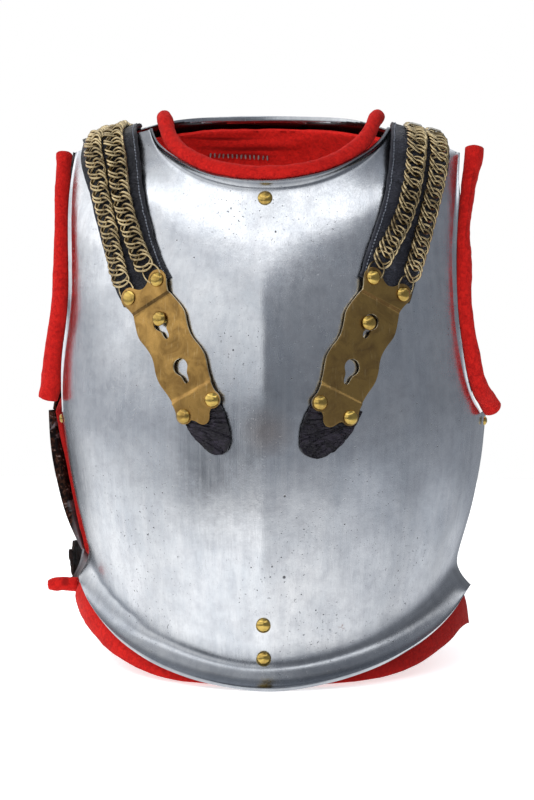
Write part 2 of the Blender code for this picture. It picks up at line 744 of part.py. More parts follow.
def back_lining():
    """The wool inside the backplate, which shows inside the collar and in the side seam."""
    depth = BACK_WALL + BACK_LINING_GAP
    neck = dict(BACK_NECK, low=BACK_NECK["low"] - BACK_LINING_DROP)
    flank = tuple((BACK_LINING_TURN, height) for _, height in BACK_FLANK)
    armhole = ((BACK_LINING_TURN, BACK_ARMHOLE[0][1]),) + BACK_ARMHOLE[1:]
    half = plate_grid(BACK, BACK_WAIST, flank, neck, armhole, LINING_FACETS)
    grid = whole(half, half)
    bm = bmesh.new()
    sheet_from_grid(bm, BACK, grid, -depth, True)
    made = place("back_lining", finish_mesh("back_lining", bm), red_wool())
    thicken(made, LINING_WALL)


# ====================================================================================== rolls
def tube(name, points, sizes, radius, finish):
    """A soft round roll with filled ends, as a bevelled curve turned to a mesh."""
    curve = bpy.data.curves.new(name, "CURVE")
    curve.dimensions = "3D"
    curve.bevel_depth = radius
    curve.bevel_resolution = 2
    curve.use_fill_caps = True
    spline = curve.splines.new("POLY")
    spline.points.add(len(points) - 1)
    for knot, point, size in zip(spline.points, points, sizes):
        knot.co = (*point, 1.0)
        knot.radius = size
    curve.materials.append(finish)
    made = bpy.data.objects.new(name, curve)
    collection(PART_NAME).objects.link(made)


def roll_line(frames, step):
    """Points beside an edge, a step past it and a step out from the surface."""
    along, out = step
    return [point + outward * along + normal * out for point, outward, normal in frames]


def neck_roll():
    """The red roll round the front of the neck opening; its ends turn up and back."""
    neck_columns = ROLL_FACETS[0]
    edge = neck_part(breast_grid(ROLL_FACETS)[-1], neck_columns)
    line = roll_line(edge_frames(BREAST, edge, BREAST.hand), NECK_ROLL_STEP)
    tail = Vector(NECK_ROLL_TAIL)
    line.append(line[-1] + tail)
    tail.x = -tail.x
    line.insert(0, line[0] + tail)
    line = even(smooth(line, ROLL_CURVE_STEPS), NECK_ROLL_PIECES)
    tube("neck_roll", line, [1.0] * len(line), NECK_ROLL_RADIUS, red_wool())


def armhole_rolls():
    """The red rolls up both armholes, thicker at the armpit than at the middle."""
    grid = breast_grid(ROLL_FACETS)
    flank_rows = ROLL_FACETS[2]
    for side, column, hand in (("left", 0, BREAST.hand), ("right", -1, -BREAST.hand)):
        start = flank_rows + ARM_ROLL_SKIP[side]
        frames = edge_frames(BREAST, column_of(grid, column, start), hand)
        rows = even([Vector(row) for row in ARM_ROLL[side]], len(frames) - 1)
        line = []
        for (point, outward, normal), (along, out, _) in zip(frames, rows):
            line.append(point + outward * along + normal * out)
        line.insert(0, line[0] + Vector(ARM_ROLL_TAIL[side]))
        line = line[:-1]
        line.append(line[-1] + Vector(ARM_ROLL_TOP[side]))
        line = even(smooth(line, ROLL_CURVE_STEPS), ARM_ROLL_PIECES)
        sizes = [row.z for row in even([Vector(row) for row in ARM_ROLL[side]], ARM_ROLL_PIECES)]
        tube("armhole_roll_" + side, line, sizes, 1.0, red_wool())


def band_curl():
    """The end of the lining band, which curls outward past the left corner of the flange."""
    line = even(smooth(BAND_CURL, ROLL_CURVE_STEPS), BAND_CURL_PIECES)
    sizes = [1.0] * BAND_CURL_PIECES + [BAND_CURL_END_SIZE]
    tube("band_curl_left", line, sizes, BAND_CURL_RADIUS, red_wool())


# ===================================================================================== straps
class Strap:
    """One shoulder strap: its route over the chest, the shoulder and the back."""

    def __init__(self, side):
        self.side = side
        self.sign = -1 if side == "left" else 1
        self.ear = self.spot(STRAP_FRONT[side][0])
        self.foot = self.spot(HOOK_FOOT[side])
        self.stations = self.route()

    @staticmethod
    def spot(row):
        """The spot on a plate that a table's row gives in degrees and metres."""
        return Vector((math.radians(row[0]), row[1]))

    def route(self):
        """Point, normal, step towards the neck and distance, from the ears to the back."""
        points, normals = [], []
        for row in STRAP_FRONT[self.side]:
            points.append(BREAST.over(self.spot(row), row[2]))
            normals.append(BREAST.normal(self.spot(row)))
        for backward, upward in STRAP_ARCH[self.side]:
            aside = ARCH_ASIDE[self.side]
            rise = SHOULDER_SLOPE * (ARCH_LEVEL_ASIDE - aside)
            points.append(Vector((aside * self.sign, backward, upward + rise)))
            tipping = ARCH_TIPPING * backward
            normals.append(Vector((SHOULDER_SLOPE * self.sign, tipping, 1.0)).normalized())
        for turn, height, lift in STRAP_BACK:
            spot = Vector((math.radians(turn) * self.sign, height))
            points.append(BACK.over(spot, lift))
            normals.append(BACK.normal(spot))
        line = smooth([(*point, *normal) for point, normal in zip(points, normals)], STRAP_CURVE_STEPS)
        line = even([Vector(row) for row in line], STRAP_PIECES, lambda row: Vector(row[:3]))
        stations, travelled = [], 0.0
        for index, row in enumerate(line):
            here = Vector(row[:3])
            ahead = Vector(line[min(index + 1, len(line) - 1)][:3])
            behind = Vector(line[max(index - 1, 0)][:3])
            along = (ahead - behind).normalized()
            normal = Vector(row[3:])
            normal = (normal - along * normal.dot(along)).normalized()
            aside = normal.cross(along) * self.sign
            if index:
                travelled += (here - Vector(line[index - 1][:3])).length
            stations.append((here, normal, aside, travelled))
        return stations

    def across(self, station, inward):
        """Point and normal of the strap's underside, at a distance towards the neck."""
        point, normal, aside, _ = station
        flat = point + aside * inward
        torso = BREAST if point.y < 0 else BACK
        share = min(max(abs(point.y) / FLAT_REACH - 1.0, 0.0), 1.0)
        if share == 0.0:
            return flat, normal
        under = torso.under(point)
        lift = (point - torso.at(under)).dot(torso.normal(under))
        beside = Vector(torso.walk(under, aside * inward))
        share = share * share * (3 - 2 * share)
        bent = torso.over(beside, lift)
        return flat.lerp(bent, share), normal.lerp(torso.normal(beside), share).normalized()

    def plate_point(self, inward, down, lift):
        """A point over the hook plate's ground: towards the neck, down from the ears, and out."""
        share = down / FOOT_LINE
        inward += PLATE_BOW * math.sin(math.pi * min(max(share, 0.0), 1.0))
        spot = self.ear.lerp(self.foot, share)
        axis = (BREAST.at(self.foot) - BREAST.at(self.ear)).normalized()
        normal = BREAST.normal(spot)
        aside = normal.cross(axis).normalized()
        if aside.x * self.sign > 0:
            aside = -aside
        reached = Vector(BREAST.walk(spot, aside * inward))
        return BREAST.over(reached, lift)

    def plate_normal(self, inward, down):
        """The direction straight off the hook plate's ground."""
        point = self.plate_point(inward, down, 0.0)
        return (self.plate_point(inward, down, 0.001) - point).normalized()


def ribbon(name, rows, flip, wall, finish):
    """A strip of constant wall over rows of points on its underside."""
    bm = bmesh.new()
    below = add_row(bm, rows[0])
    for points in rows[1:]:
        above = add_row(bm, points)
        stitch(bm, below, above, flip)
        below = above
    made = place(name, finish_mesh(name, bm), finish)
    shell = made.modifiers.new("wall", "SOLIDIFY")
    shell.thickness = wall
    shell.offset = 1.0


def strap_leather(strap):
    """The leather from under the ears of the hook plate, over the shoulder, to the back."""
    rows = [[strap.plate_point(share * STRAP_HALF_WIDTH, STRAP_START, STRAP_LIFT)
             for share in STRAP_COLUMNS]]
    for station in strap.stations:
        rows.append([strap.across(station, STRAP_HALF_WIDTH * share)[0] for share in STRAP_COLUMNS])
    ribbon("strap_leather_" + strap.side, rows, strap.side == "right", LEATHER_WALL,
           strap_leather_finish())


def chain(strap, lane):
    """One curb chain as a flat oval rope along its lane of the strap; its links are finer."""
    ear_lane, top_lane = CHAIN_LANES[strap.side][lane]
    lift = LEATHER_WALL + CHAIN_CLEARANCE + CHAIN_HALF_HEIGHT
    bm = bmesh.new()
    rings = []
    for station in strap.stations:
        _, _, aside, travelled = station
        if travelled < CHAIN_START or travelled > strap.stations[-1][3] - CHAIN_TAIL:
            continue
        share = min(travelled / CHAIN_SPREAD_LENGTH, 1.0)
        share = share * share * (3 - 2 * share)
        point, normal = strap.across(station, ear_lane + (top_lane - ear_lane) * share)
        centre = point + normal * lift
        level = (aside - normal * aside.dot(normal)).normalized()
        ring = []
        for side in range(CHAIN_SIDES):
            angle = 2 * math.pi * side / CHAIN_SIDES
            ring.append(centre + level * (CHAIN_HALF_WIDTH * math.cos(angle))
                        + normal * (CHAIN_HALF_HEIGHT * math.sin(angle)))
        rings.append(add_row(bm, ring))
    for first, second in zip(rings, rings[1:]):
        stitch(bm, first + first[:1], second + second[:1])
    bm.faces.new(rings[0])
    bm.faces.new(reversed(rings[-1]))
    bmesh.ops.recalc_face_normals(bm, faces=bm.faces[:])
    name = "chain_" + lane + "_" + strap.side
    place(name, finish_mesh(name, bm, CHAIN_SHARP_ANGLE), chain_brass())


# ================================================================================ hook plates
def arc(across, down, radius, start, end, steps):
    """Points of an arc in the plate's plane; 0 degrees points across and 90 points up."""
    points = []
    for step in range(steps + 1):
        angle = math.radians(start + (end - start) * step / steps)
        points.append((across + radius * math.cos(angle), down - radius * math.sin(angle)))
    return points


def hook_outline():
    """The plate's edge: two round ears, two scalloped lobes, two feet and a middle cusp."""
    half = [(0.0, NOTCH_DOWN)]
    half += arc(EAR_SPACING, 0.0, EAR_RADIUS, *EAR_ARC, 6)
    steps = 8
    for step in range(steps + 1):
        down = UPPER_FOLD + (LOWER_FOLD - UPPER_FOLD) * step / steps
        wave = math.cos(2 * math.pi * (down - KEYHOLES[0]) / WAVE_PITCH)
        half.append((WAVE_MEAN + WAVE_HEIGHT * wave, down))
    half += arc(FOOT_SPACING, FOOT_LINE, FOOT_RADIUS, *FOOT_ARC, 5)
    half += CUSP
    other = [(-across, down) for across, down in reversed(half[1:-1])]
    return half + other


def keyhole_outline(down):
    """A round hole with a slot below it."""
    slot_angle = math.degrees(math.asin(SLOT_HALF_WIDTH / KEYHOLE_RADIUS))
    points = arc(0.0, down, KEYHOLE_RADIUS, -90 + slot_angle, 270 - slot_angle, 9)
    points += arc(0.0, down + SLOT_REACH, SLOT_HALF_WIDTH, 180, 360, 3)
    return points


def tip_outline(side):
    """The leather tip: straight sides under the feet, then a rounded point that may lean."""
    half_width, shift, lean = TIP_HALF_WIDTH[side], TIP_SHIFT[side], TIP_LEAN[side]
    half = [(half_width, TIP_START)]
    steps = 6
    for step in range(steps + 1):
        angle = math.radians(90) * step / steps
        across = half_width * math.cos(angle) ** 0.9
        half.append((across, TIP_STRAIGHT + (TIP_END - TIP_STRAIGHT) * math.sin(angle)))
    other = [(-across, down) for across, down in reversed(half[:-1])]
    points = half + other
    reach = TIP_END - TIP_START
    return [(across + shift + lean * (down - TIP_START) / reach, down) for across, down in points]


def flat_outline(name, loops, wall, finish):
    """A flat piece as a filled 2D curve, turned into a closed mesh."""
    curve = bpy.data.curves.new(name, "CURVE")
    curve.dimensions = "2D"
    curve.fill_mode = "BOTH"
    curve.extrude = wall / 2
    for loop in loops:
        spline = curve.splines.new("POLY")
        spline.points.add(len(loop) - 1)
        spline.use_cyclic_u = True
        for knot, (across, down) in zip(spline.points, loop):
            knot.co = (across, down, 0.0, 1.0)
    sketch = bpy.data.objects.new(name + "_sketch", curve)
    collection(PART_NAME).objects.link(sketch)
    bpy.context.view_layer.update()
    depsgraph = bpy.context.evaluated_depsgraph_get()
    mesh = bpy.data.meshes.new_from_object(sketch.evaluated_get(depsgraph))
    mesh.name = name
    mesh.materials.clear()
    mesh.materials.append(finish)
    bpy.data.objects.remove(sketch, do_unlink=True)
    bpy.data.curves.remove(curve)
    return mesh


def bend_onto_chest(strap, mesh, lift_at, cuts_down, cuts_across):
    """Slices a flat piece into facets and lays it over the chest."""
    bm = bmesh.new()
    bm.from_mesh(mesh)
    bmesh.ops.remove_doubles(bm, verts=bm.verts[:], dist=MERGE_DISTANCE)
    cuts = [((0, down, 0), (0, 1, 0)) for down in cuts_down]
    cuts += [((across, 0, 0), (1, 0, 0)) for across in cuts_across]
    for point, direction in cuts:
        bmesh.ops.bisect_plane(bm, geom=bm.verts[:] + bm.edges[:] + bm.faces[:],
                               dist=CUT_DISTANCE, plane_co=point, plane_no=direction)
    bmesh.ops.triangulate(bm, faces=bm.faces[:])
    wall = max(vert.co.z for vert in bm.verts) * 2
    for vert in bm.verts:
        across, down, out = vert.co
        vert.co = strap.plate_point(across, down, lift_at(down) + out + wall / 2)
    if bm.calc_volume(signed=True) < 0:
        bmesh.ops.reverse_faces(bm, faces=bm.faces[:])
    bm.to_mesh(mesh)
    bm.free()
    mesh.shade_smooth()
    mesh.set_sharp_from_angle(angle=math.radians(SHARP_ANGLE))


def plate_lift(down):
    """How far the hook plate's underside stands off the steel, with a step at each fold."""
    if down <= UPPER_FOLD or down >= LOWER_FOLD:
        return PLATE_LIFT_ON_LEATHER
    from_fold = min(down - UPPER_FOLD, LOWER_FOLD - down)
    share = min(from_fold / FOLD_LENGTH, 1.0)
    return PLATE_LIFT_ON_LEATHER + (PLATE_LIFT_BETWEEN - PLATE_LIFT_ON_LEATHER) * share


def hook_plate(strap):
    """The brass plate whose keyholes hook over a stud on the chest."""
    loops = [hook_outline()] + [keyhole_outline(down) for down in KEYHOLES]
    name = "hook_plate_" + strap.side
    mesh = flat_outline(name, loops, BRASS_WALL, plate_brass())
    folds = (UPPER_FOLD, UPPER_FOLD + FOLD_LENGTH, LOWER_FOLD - FOLD_LENGTH, LOWER_FOLD)
    bend_onto_chest(strap, mesh, plate_lift, sorted(folds + PLATE_CUTS_DOWN), PLATE_CUTS_ACROSS)
    place(name, mesh, plate_brass())


def strap_tip(strap):
    """The leather under the feet of the hook plate, with its hanging rounded point."""
    name = "strap_tip_" + strap.side
    mesh = flat_outline(name, [tip_outline(strap.side)], LEATHER_WALL, strap_leather_finish())
    bend_onto_chest(strap, mesh, lambda down: STRAP_LIFT, TIP_CUTS_DOWN, TIP_CUTS_ACROSS)
    place(name, mesh, strap_leather_finish())


# ============================================================================ rivets and studs
def turned(name, profile, steps=9):
    """A turned piece about +Z from (radius, height) rows that start and end on the axis."""
    mesh = bpy.data.meshes.get(name)
    if mesh:
        return mesh
    bm = bmesh.new()
    verts = add_row(bm, [Vector((radius, 0, height)) for radius, height in profile])
    edges = [bm.edges.new(pair) for pair in zip(verts, verts[1:])]
    bmesh.ops.spin(bm, geom=verts + edges, axis=(0, 0, 1), cent=(0, 0, 0), dvec=(0, 0, 0),
                   angle=math.radians(360), steps=steps, use_merge=True, use_duplicate=False)
    bmesh.ops.remove_doubles(bm, verts=bm.verts[:], dist=MERGE_DISTANCE)
    bmesh.ops.recalc_face_normals(bm, faces=bm.faces[:])
    return finish_mesh(name, bm, TURNED_SHARP_ANGLE)


def dome_profile(radius, height, base=0.0):
    """A domed head with a small upright edge, above the given base."""
    return [(0.0, base + height), (radius * 0.66, base + height * 0.76),
            (radius, base + height * 0.18), (radius, base)]


def standing(point, normal):
    """The placing of a turned piece that stands on a surface."""
    return Matrix.Translation(point) @ normal.to_track_quat("Z", "Y").to_matrix().to_4x4()


def rivet(name, point, normal, size=1.0):
    """A domed head that stands on a surface."""
    radius, height = RIVET_RADIUS * size, RIVET_HEIGHT * size
    if name == FLAT_RIVET[0]:
        height = FLAT_RIVET[1]
    mesh_name = f"rivet_{round(radius * 10000)}_{round(height * 10000)}"
    mesh = turned(mesh_name, dome_profile(radius, height) + [(0.0, 0.0)])
    place(name, mesh, rivet_brass(), standing(point + normal * GAP, normal))


def plate_rivets(strap):
    """Two domes on the ears and two on the feet of the hook plate."""
    for row, down, spacing in (("ear", 0.0, EAR_SPACING), ("foot", FOOT_LINE, FOOT_SPACING)):
        for place_name, across in (("outer", -spacing), ("inner", spacing)):
            lift = PLATE_LIFT_ON_LEATHER + BRASS_WALL
            point = strap.plate_point(across, down, lift)
            rivet(f"rivet_{row}_{place_name}_{strap.side}", point, strap.plate_normal(across, down))


def keyhole_stud(strap):
    """The stud on the breastplate that the upper keyhole hooks over."""
    neck_height = PLATE_LIFT_BETWEEN + BRASS_WALL + STUD_CLEARANCE
    profile = dome_profile(RIVET_RADIUS, RIVET_HEIGHT, neck_height)
    profile += [(STUD_NECK_RADIUS, neck_height), (STUD_NECK_RADIUS, 0.0), (0.0, 0.0)]
    inward, down = STUD_OFFSET[strap.side]
    normal = strap.plate_normal(inward, KEYHOLES[0] + down)
    point = strap.plate_point(inward, KEYHOLES[0] + down, GAP)
    place("stud_" + strap.side, turned("keyhole_stud", profile), rivet_brass(),
          standing(point, normal))


def breast_rivets():
    """The rivets that pin the lining to the breastplate."""
    for name, turn, height, lift, size in BREAST_RIVETS:
        spot = (math.radians(turn), height)
        rivet(name, BREAST.over(spot, lift), BREAST.normal(spot), size)


def rear_fastening(strap):
    """A plain brass plate over the end of the strap, with two rivets, on the backplate."""
    rows = []
    for station in strap.stations:
        if station[3] < strap.stations[-1][3] - REAR_PLATE_LENGTH:
            continue
        row = []
        for share in STRAP_COLUMNS:
            point, normal = strap.across(station, REAR_PLATE_HALF_WIDTH * share)
            row.append(point + normal * (LEATHER_WALL + REAR_CLEARANCE))
        rows.append(row)
    ribbon("rear_plate_" + strap.side, rows, strap.side == "right", BRASS_WALL, plate_brass())
    for place_name, inward in (("outer", -EAR_SPACING), ("inner", EAR_SPACING)):
        point, normal = strap.across(strap.stations[-2], inward)
        point += normal * (LEATHER_WALL + REAR_CLEARANCE + BRASS_WALL)
        rivet(f"rivet_rear_{place_name}_{strap.side}", point, normal)


# ================================================================================= belt stub
def belt_stub():
    """The torn end of the leather waist belt, on the left side of the backplate."""
    rows = []
    for turn, low, high in BELT_STUB:
        row = []
        for share in (0.0, 0.5, 1.0):
            spot = (-math.radians(turn), low + (high - low) * share)
            row.append(BACK.over(spot, BELT_LIFT))
        rows.append(row)
    ribbon("belt_stub", rows, False, BELT_WALL, belt_leather())
    turn, height = BELT_RIVET
    spot = (-math.radians(turn), height)
    rivet("rivet_belt", BACK.over(spot, BELT_LIFT + BELT_WALL), BACK.normal(spot),
          BELT_RIVET_SIZE)


# ====================================================================================== build
def clear_scene():
    """Empties the scene that the tool starts from."""
    for found in list(bpy.data.objects):
        bpy.data.objects.remove(found, do_unlink=True)


def rest_on_origin():
    """Moves the whole object so that its box is centred over the origin and stands on z = 0."""
    bpy.context.view_layer.update()
    depsgraph = bpy.context.evaluated_depsgraph_get()
    corners = []
    for made in collection(PART_NAME).objects:
        evaluated = made.evaluated_get(depsgraph)
        mesh = evaluated.to_mesh()
        corners += [made.matrix_world @ vert.co for vert in mesh.vertices]
        evaluated.to_mesh_clear()
    low = [min(corner[axis] for corner in corners) for axis in range(3)]
    high = [max(corner[axis] for corner in corners) for axis in range(3)]
    move = Vector((-(low[0] + high[0]) / 2, -(low[1] + high[1]) / 2, -low[2]))
    for made in collection(PART_NAME).objects:
        made.location += move


def main():
    """Builds every piece and stands the cuirass on its origin."""
    clear_scene()
    breastplate()
    backplate()
    breast_lining()
    back_lining()
    neck_roll()
    armhole_rolls()
    band_curl()
    breast_rivets()
    belt_stub()
    for side in ("left", "right"):
        strap = Strap(side)
        strap_leather(strap)
        strap_tip(strap)
        hook_plate(strap)
        plate_rivets(strap)
        keyhole_stud(strap)
        rear_fastening(strap)
        for lane in CHAIN_LANES[side]:
            chain(strap, lane)
    rest_on_origin()


main()
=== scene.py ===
"""Looks for a cavalry cuirass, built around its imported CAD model."""
import math
import random

import bmesh
import bpy
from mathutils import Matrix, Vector, noise
from mathutils.bvhtree import BVHTree


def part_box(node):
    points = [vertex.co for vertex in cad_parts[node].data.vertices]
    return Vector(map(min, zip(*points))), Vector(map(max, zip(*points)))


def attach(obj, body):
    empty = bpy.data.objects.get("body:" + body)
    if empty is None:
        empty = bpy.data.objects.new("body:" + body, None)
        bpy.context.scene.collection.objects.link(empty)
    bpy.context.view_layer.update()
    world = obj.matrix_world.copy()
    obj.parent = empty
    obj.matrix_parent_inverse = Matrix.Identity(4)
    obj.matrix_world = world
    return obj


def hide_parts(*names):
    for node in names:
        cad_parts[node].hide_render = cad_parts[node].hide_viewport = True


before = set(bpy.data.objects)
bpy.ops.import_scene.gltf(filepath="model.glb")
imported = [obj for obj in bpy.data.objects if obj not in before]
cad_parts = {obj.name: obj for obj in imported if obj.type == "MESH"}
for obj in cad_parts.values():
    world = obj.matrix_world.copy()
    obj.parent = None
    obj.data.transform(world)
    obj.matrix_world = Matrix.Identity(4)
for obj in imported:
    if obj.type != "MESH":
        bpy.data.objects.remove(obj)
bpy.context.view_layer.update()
SIDES = ("left", "right")                   # the viewer's, seen from the front
MM = 0.001


# ======================================================================== working on meshes
WELD_DISTANCE = 0.01 * MM
QUAD_FOLD = math.radians(25.0)              # the most that a quad's two triangles may fold
QUAD_SKEW = math.radians(60.0)
FLAT_SHARE = 0.6                            # cosines to a plate's flat side: its flat faces
RIM_SHARE = 0.55                            # are above the first, its rim's below the second


def welded(node):
    """The CAD node's mesh with its corners joined and its triangles paired into quads."""
    bm = bmesh.new()
    bm.from_mesh(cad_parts[node].data)
    bmesh.ops.remove_doubles(bm, verts=bm.verts[:], dist=WELD_DISTANCE)
    bmesh.ops.join_triangles(bm, faces=bm.faces[:], angle_face_threshold=QUAD_FOLD,
                             angle_shape_threshold=QUAD_SKEW)
    bm.normal_update()
    return bm


def as_object(bm, name):
    """A smooth-shaded object from the mesh, which is freed."""
    mesh = bpy.data.meshes.new(name)
    bm.to_mesh(mesh)
    bm.free()
    for face in mesh.polygons:
        face.use_smooth = True
    made = bpy.data.objects.new(name, mesh)
    bpy.context.scene.collection.objects.link(made)
    return made


def settle(made):
    """Applies the object's modifiers."""
    bpy.context.view_layer.update()
    graph = bpy.context.evaluated_depsgraph_get()
    mesh = bpy.data.meshes.new_from_object(made.evaluated_get(graph))
    made.modifiers.clear()
    made.data = mesh
    for face in mesh.polygons:
        face.use_smooth = True
    return made


def creased(bm, angle, rim=False, line=None):
    """Keeps the sharp edges sharp through a subdivision.

    With rim, the edges across a flat piece's rim stay soft, so that its outline comes out round.
    line(edge) gives the crease of any edge that is to be sharp without being folded.
    """
    layer = bm.edges.layers.float.get("crease_edge") or bm.edges.layers.float.new("crease_edge")
    wide = max(bm.faces, key=lambda face: face.calc_area()).normal
    ground = sum((face.normal * face.calc_area() * math.copysign(1.0, face.normal.dot(wide))
                  for face in bm.faces if abs(face.normal.dot(wide)) > FLAT_SHARE),
                 Vector()).normalized()
    for edge in bm.edges:
        if len(edge.link_faces) != 2:
            continue
        if edge.calc_face_angle(0.0) > math.radians(angle):
            across = rim and all(abs(face.normal.dot(ground)) < RIM_SHARE
                                 for face in edge.link_faces)
            edge[layer] = 0.0 if across else 1.0
        elif line:
            edge[layer] = line(edge)


def bevel(made, width, angle=40.0):
    """Rounds the edges that are sharper than the angle."""
    step = made.modifiers.new("edges", "BEVEL")
    step.width = width
    step.segments = 2
    step.limit_method = "ANGLE"
    step.angle_limit = math.radians(angle)
    return settle(made)


def fine(node, name, levels=2, angle=38.0, rim=False, line=None):
    """A smooth, finely divided copy of a CAD node, sharp where it folds by more than the angle."""
    bm = welded(node)
    creased(bm, angle, rim, line)
    made = as_object(bm, name)
    step = made.modifiers.new("fine", "SUBSURF")
    step.levels = step.render_levels = levels
    return settle(made)


def ruffle(made, *waves, seed, only=None):
    """Moves the vertices along their normals by waves of noise, each (size, height)."""
    mesh = made.data
    normals = [vert.normal.copy() for vert in mesh.vertices]
    start = Vector((seed, seed * 0.7, -seed))
    for vert, normal in zip(mesh.vertices, normals):
        share = 1.0 if only is None else only(vert.co)
        if share:
            lift = sum(noise.noise(vert.co / size + start) * height for size, height in waves)
            vert.co += normal * lift * share
    mesh.update()


def swell(made, height):
    """Moves the surface outward, or inward, by a height or by height(point)."""
    mesh = made.data
    normals = [vert.normal.copy() for vert in mesh.vertices]
    for vert, normal in zip(mesh.vertices, normals):
        vert.co += normal * (height(vert.co) if callable(height) else height)
    mesh.update()


def bell(value, middle, width):
    """1 at the middle, falling softly to 0 a few widths away."""
    return math.exp(-((value - middle) / width) ** 2)


def between(value, low, high):
    """0 at low and below, 1 at high and above, and a soft step between them."""
    share = min(max((value - low) / (high - low), 0.0), 1.0)
    return share * share * (3.0 - 2.0 * share)


def middle_of(node):
    """The middle of a CAD node's box."""
    return centre([Vector(corner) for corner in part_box(node)])


def keep(made, *nodes, slot=None, finish=None):
    """The piece rides on the object and stands for these CAD nodes."""
    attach(made, "root")
    if nodes:
        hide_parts(*nodes)
    if finish:
        made.data.materials.clear()
        made.data.materials.append(finish.material)


def rings(node, count):
    """Rings of count vertices round a tube or ribbon of quads, in order from its front end."""
    bm = welded(node)
    bm.edges.ensure_lookup_table()
    parent = list(range(len(bm.edges)))

    def root(index):
        while parent[index] != index:
            parent[index] = parent[parent[index]]
            index = parent[index]
        return index

    for face in bm.faces:
        if len(face.edges) == 4:
            first, second, third, fourth = (edge.index for edge in face.edges)
            parent[root(first)] = root(third)
            parent[root(second)] = root(fourth)
    sizes = {}
    for index in range(len(bm.edges)):
        sizes[root(index)] = sizes.get(root(index), 0) + 1
    rungs = {index for index in range(len(bm.edges)) if sizes[root(index)] == count}
    group = {}
    found = []
    for start in bm.verts:
        if start.index in group:
            continue
        members, waiting = [], [start]
        group[start.index] = len(found)
        while waiting:
            vert = waiting.pop()
            members.append(vert.co.copy())
            for edge in vert.link_edges:
                other = edge.other_vert(vert)
                if edge.index not in rungs and other.index not in group:
                    group[other.index] = len(found)
                    waiting.append(other)
        found.append(members)
    beside = [set() for _ in found]
    for index in rungs:
        one, two = (group[vert.index] for vert in bm.edges[index].verts)
        beside[one].add(two)
        beside[two].add(one)
    bm.free()
    ends = [index for index, near in enumerate(beside) if len(near) == 1]
    here = min(ends, key=lambda index: centre(found[index]).y)
    order, last = [], None
    while here is not None:
        order.append(here)
        onward = [near for near in beside[here] if near != last]
        last, here = here, (onward[0] if onward else None)
    return [found[index] for index in order]


def centre(points):
    return sum(points, Vector()) / len(points)


INSIDE = (0.3, 0.03, 0.20)                  # outward is away from here, x a share of the ring's


def frames_of(ring_list):
    """(centre, along, across, outward) of each ring: across is its wide way."""
    centres = [centre(ring) for ring in ring_list]
    made = []
    for index, (ring, middle) in enumerate(zip(ring_list, centres)):
        along = centres[min(index + 1, len(centres) - 1)] - centres[max(index - 1, 0)]
        along.normalize()
        across = max((point - middle for point in ring), key=lambda arm: arm.length)
        across = (across - along * across.dot(along)).normalized()
        if across.x < 0:
            across = -across
        outward = along.cross(across)
        if outward.dot(middle - Vector((middle.x * INSIDE[0], *INSIDE[1:]))) < 0:
            outward = -outward
        made.append((middle, along, across, outward))
    return made


def resample(frames, pitch, start):
    """Frames every pitch along the line, from start."""
    lengths = [0.0]
    for one, two in zip(frames, frames[1:]):
        lengths.append(lengths[-1] + (two[0] - one[0]).length)
    made, want, index = [], start, 0
    while want <= lengths[-1]:
        while index < len(lengths) - 2 and lengths[index + 1] < want:
            index += 1
        share = (want - lengths[index]) / max(lengths[index + 1] - lengths[index], 1e-9)
        one, two = frames[index], frames[index + 1]
        point = one[0].lerp(two[0], share)
        along, across = one[1].lerp(two[1], share), one[2].lerp(two[2], share)
        along.normalize()
        across = (across - along * across.dot(along)).normalized()
        outward = one[3].lerp(two[3], share)
        outward = (outward - along * outward.dot(along) - across * outward.dot(across)).normalized()
        made.append((point, along, across, outward))
        want += pitch
    return made


# ============================================================================== materials
def add_node(tree, kind, inputs=None, **settings):
    """A shader node in the tree, with each input linked or set."""
    made = tree.nodes.new("ShaderNode" + kind)
    for key, value in settings.items():
        setattr(made, key, value)
    for key, value in (inputs or {}).items():
        if hasattr(value, "links"):
            tree.links.new(value, made.inputs[key])
        else:
            made.inputs[key].default_value = value
    return made


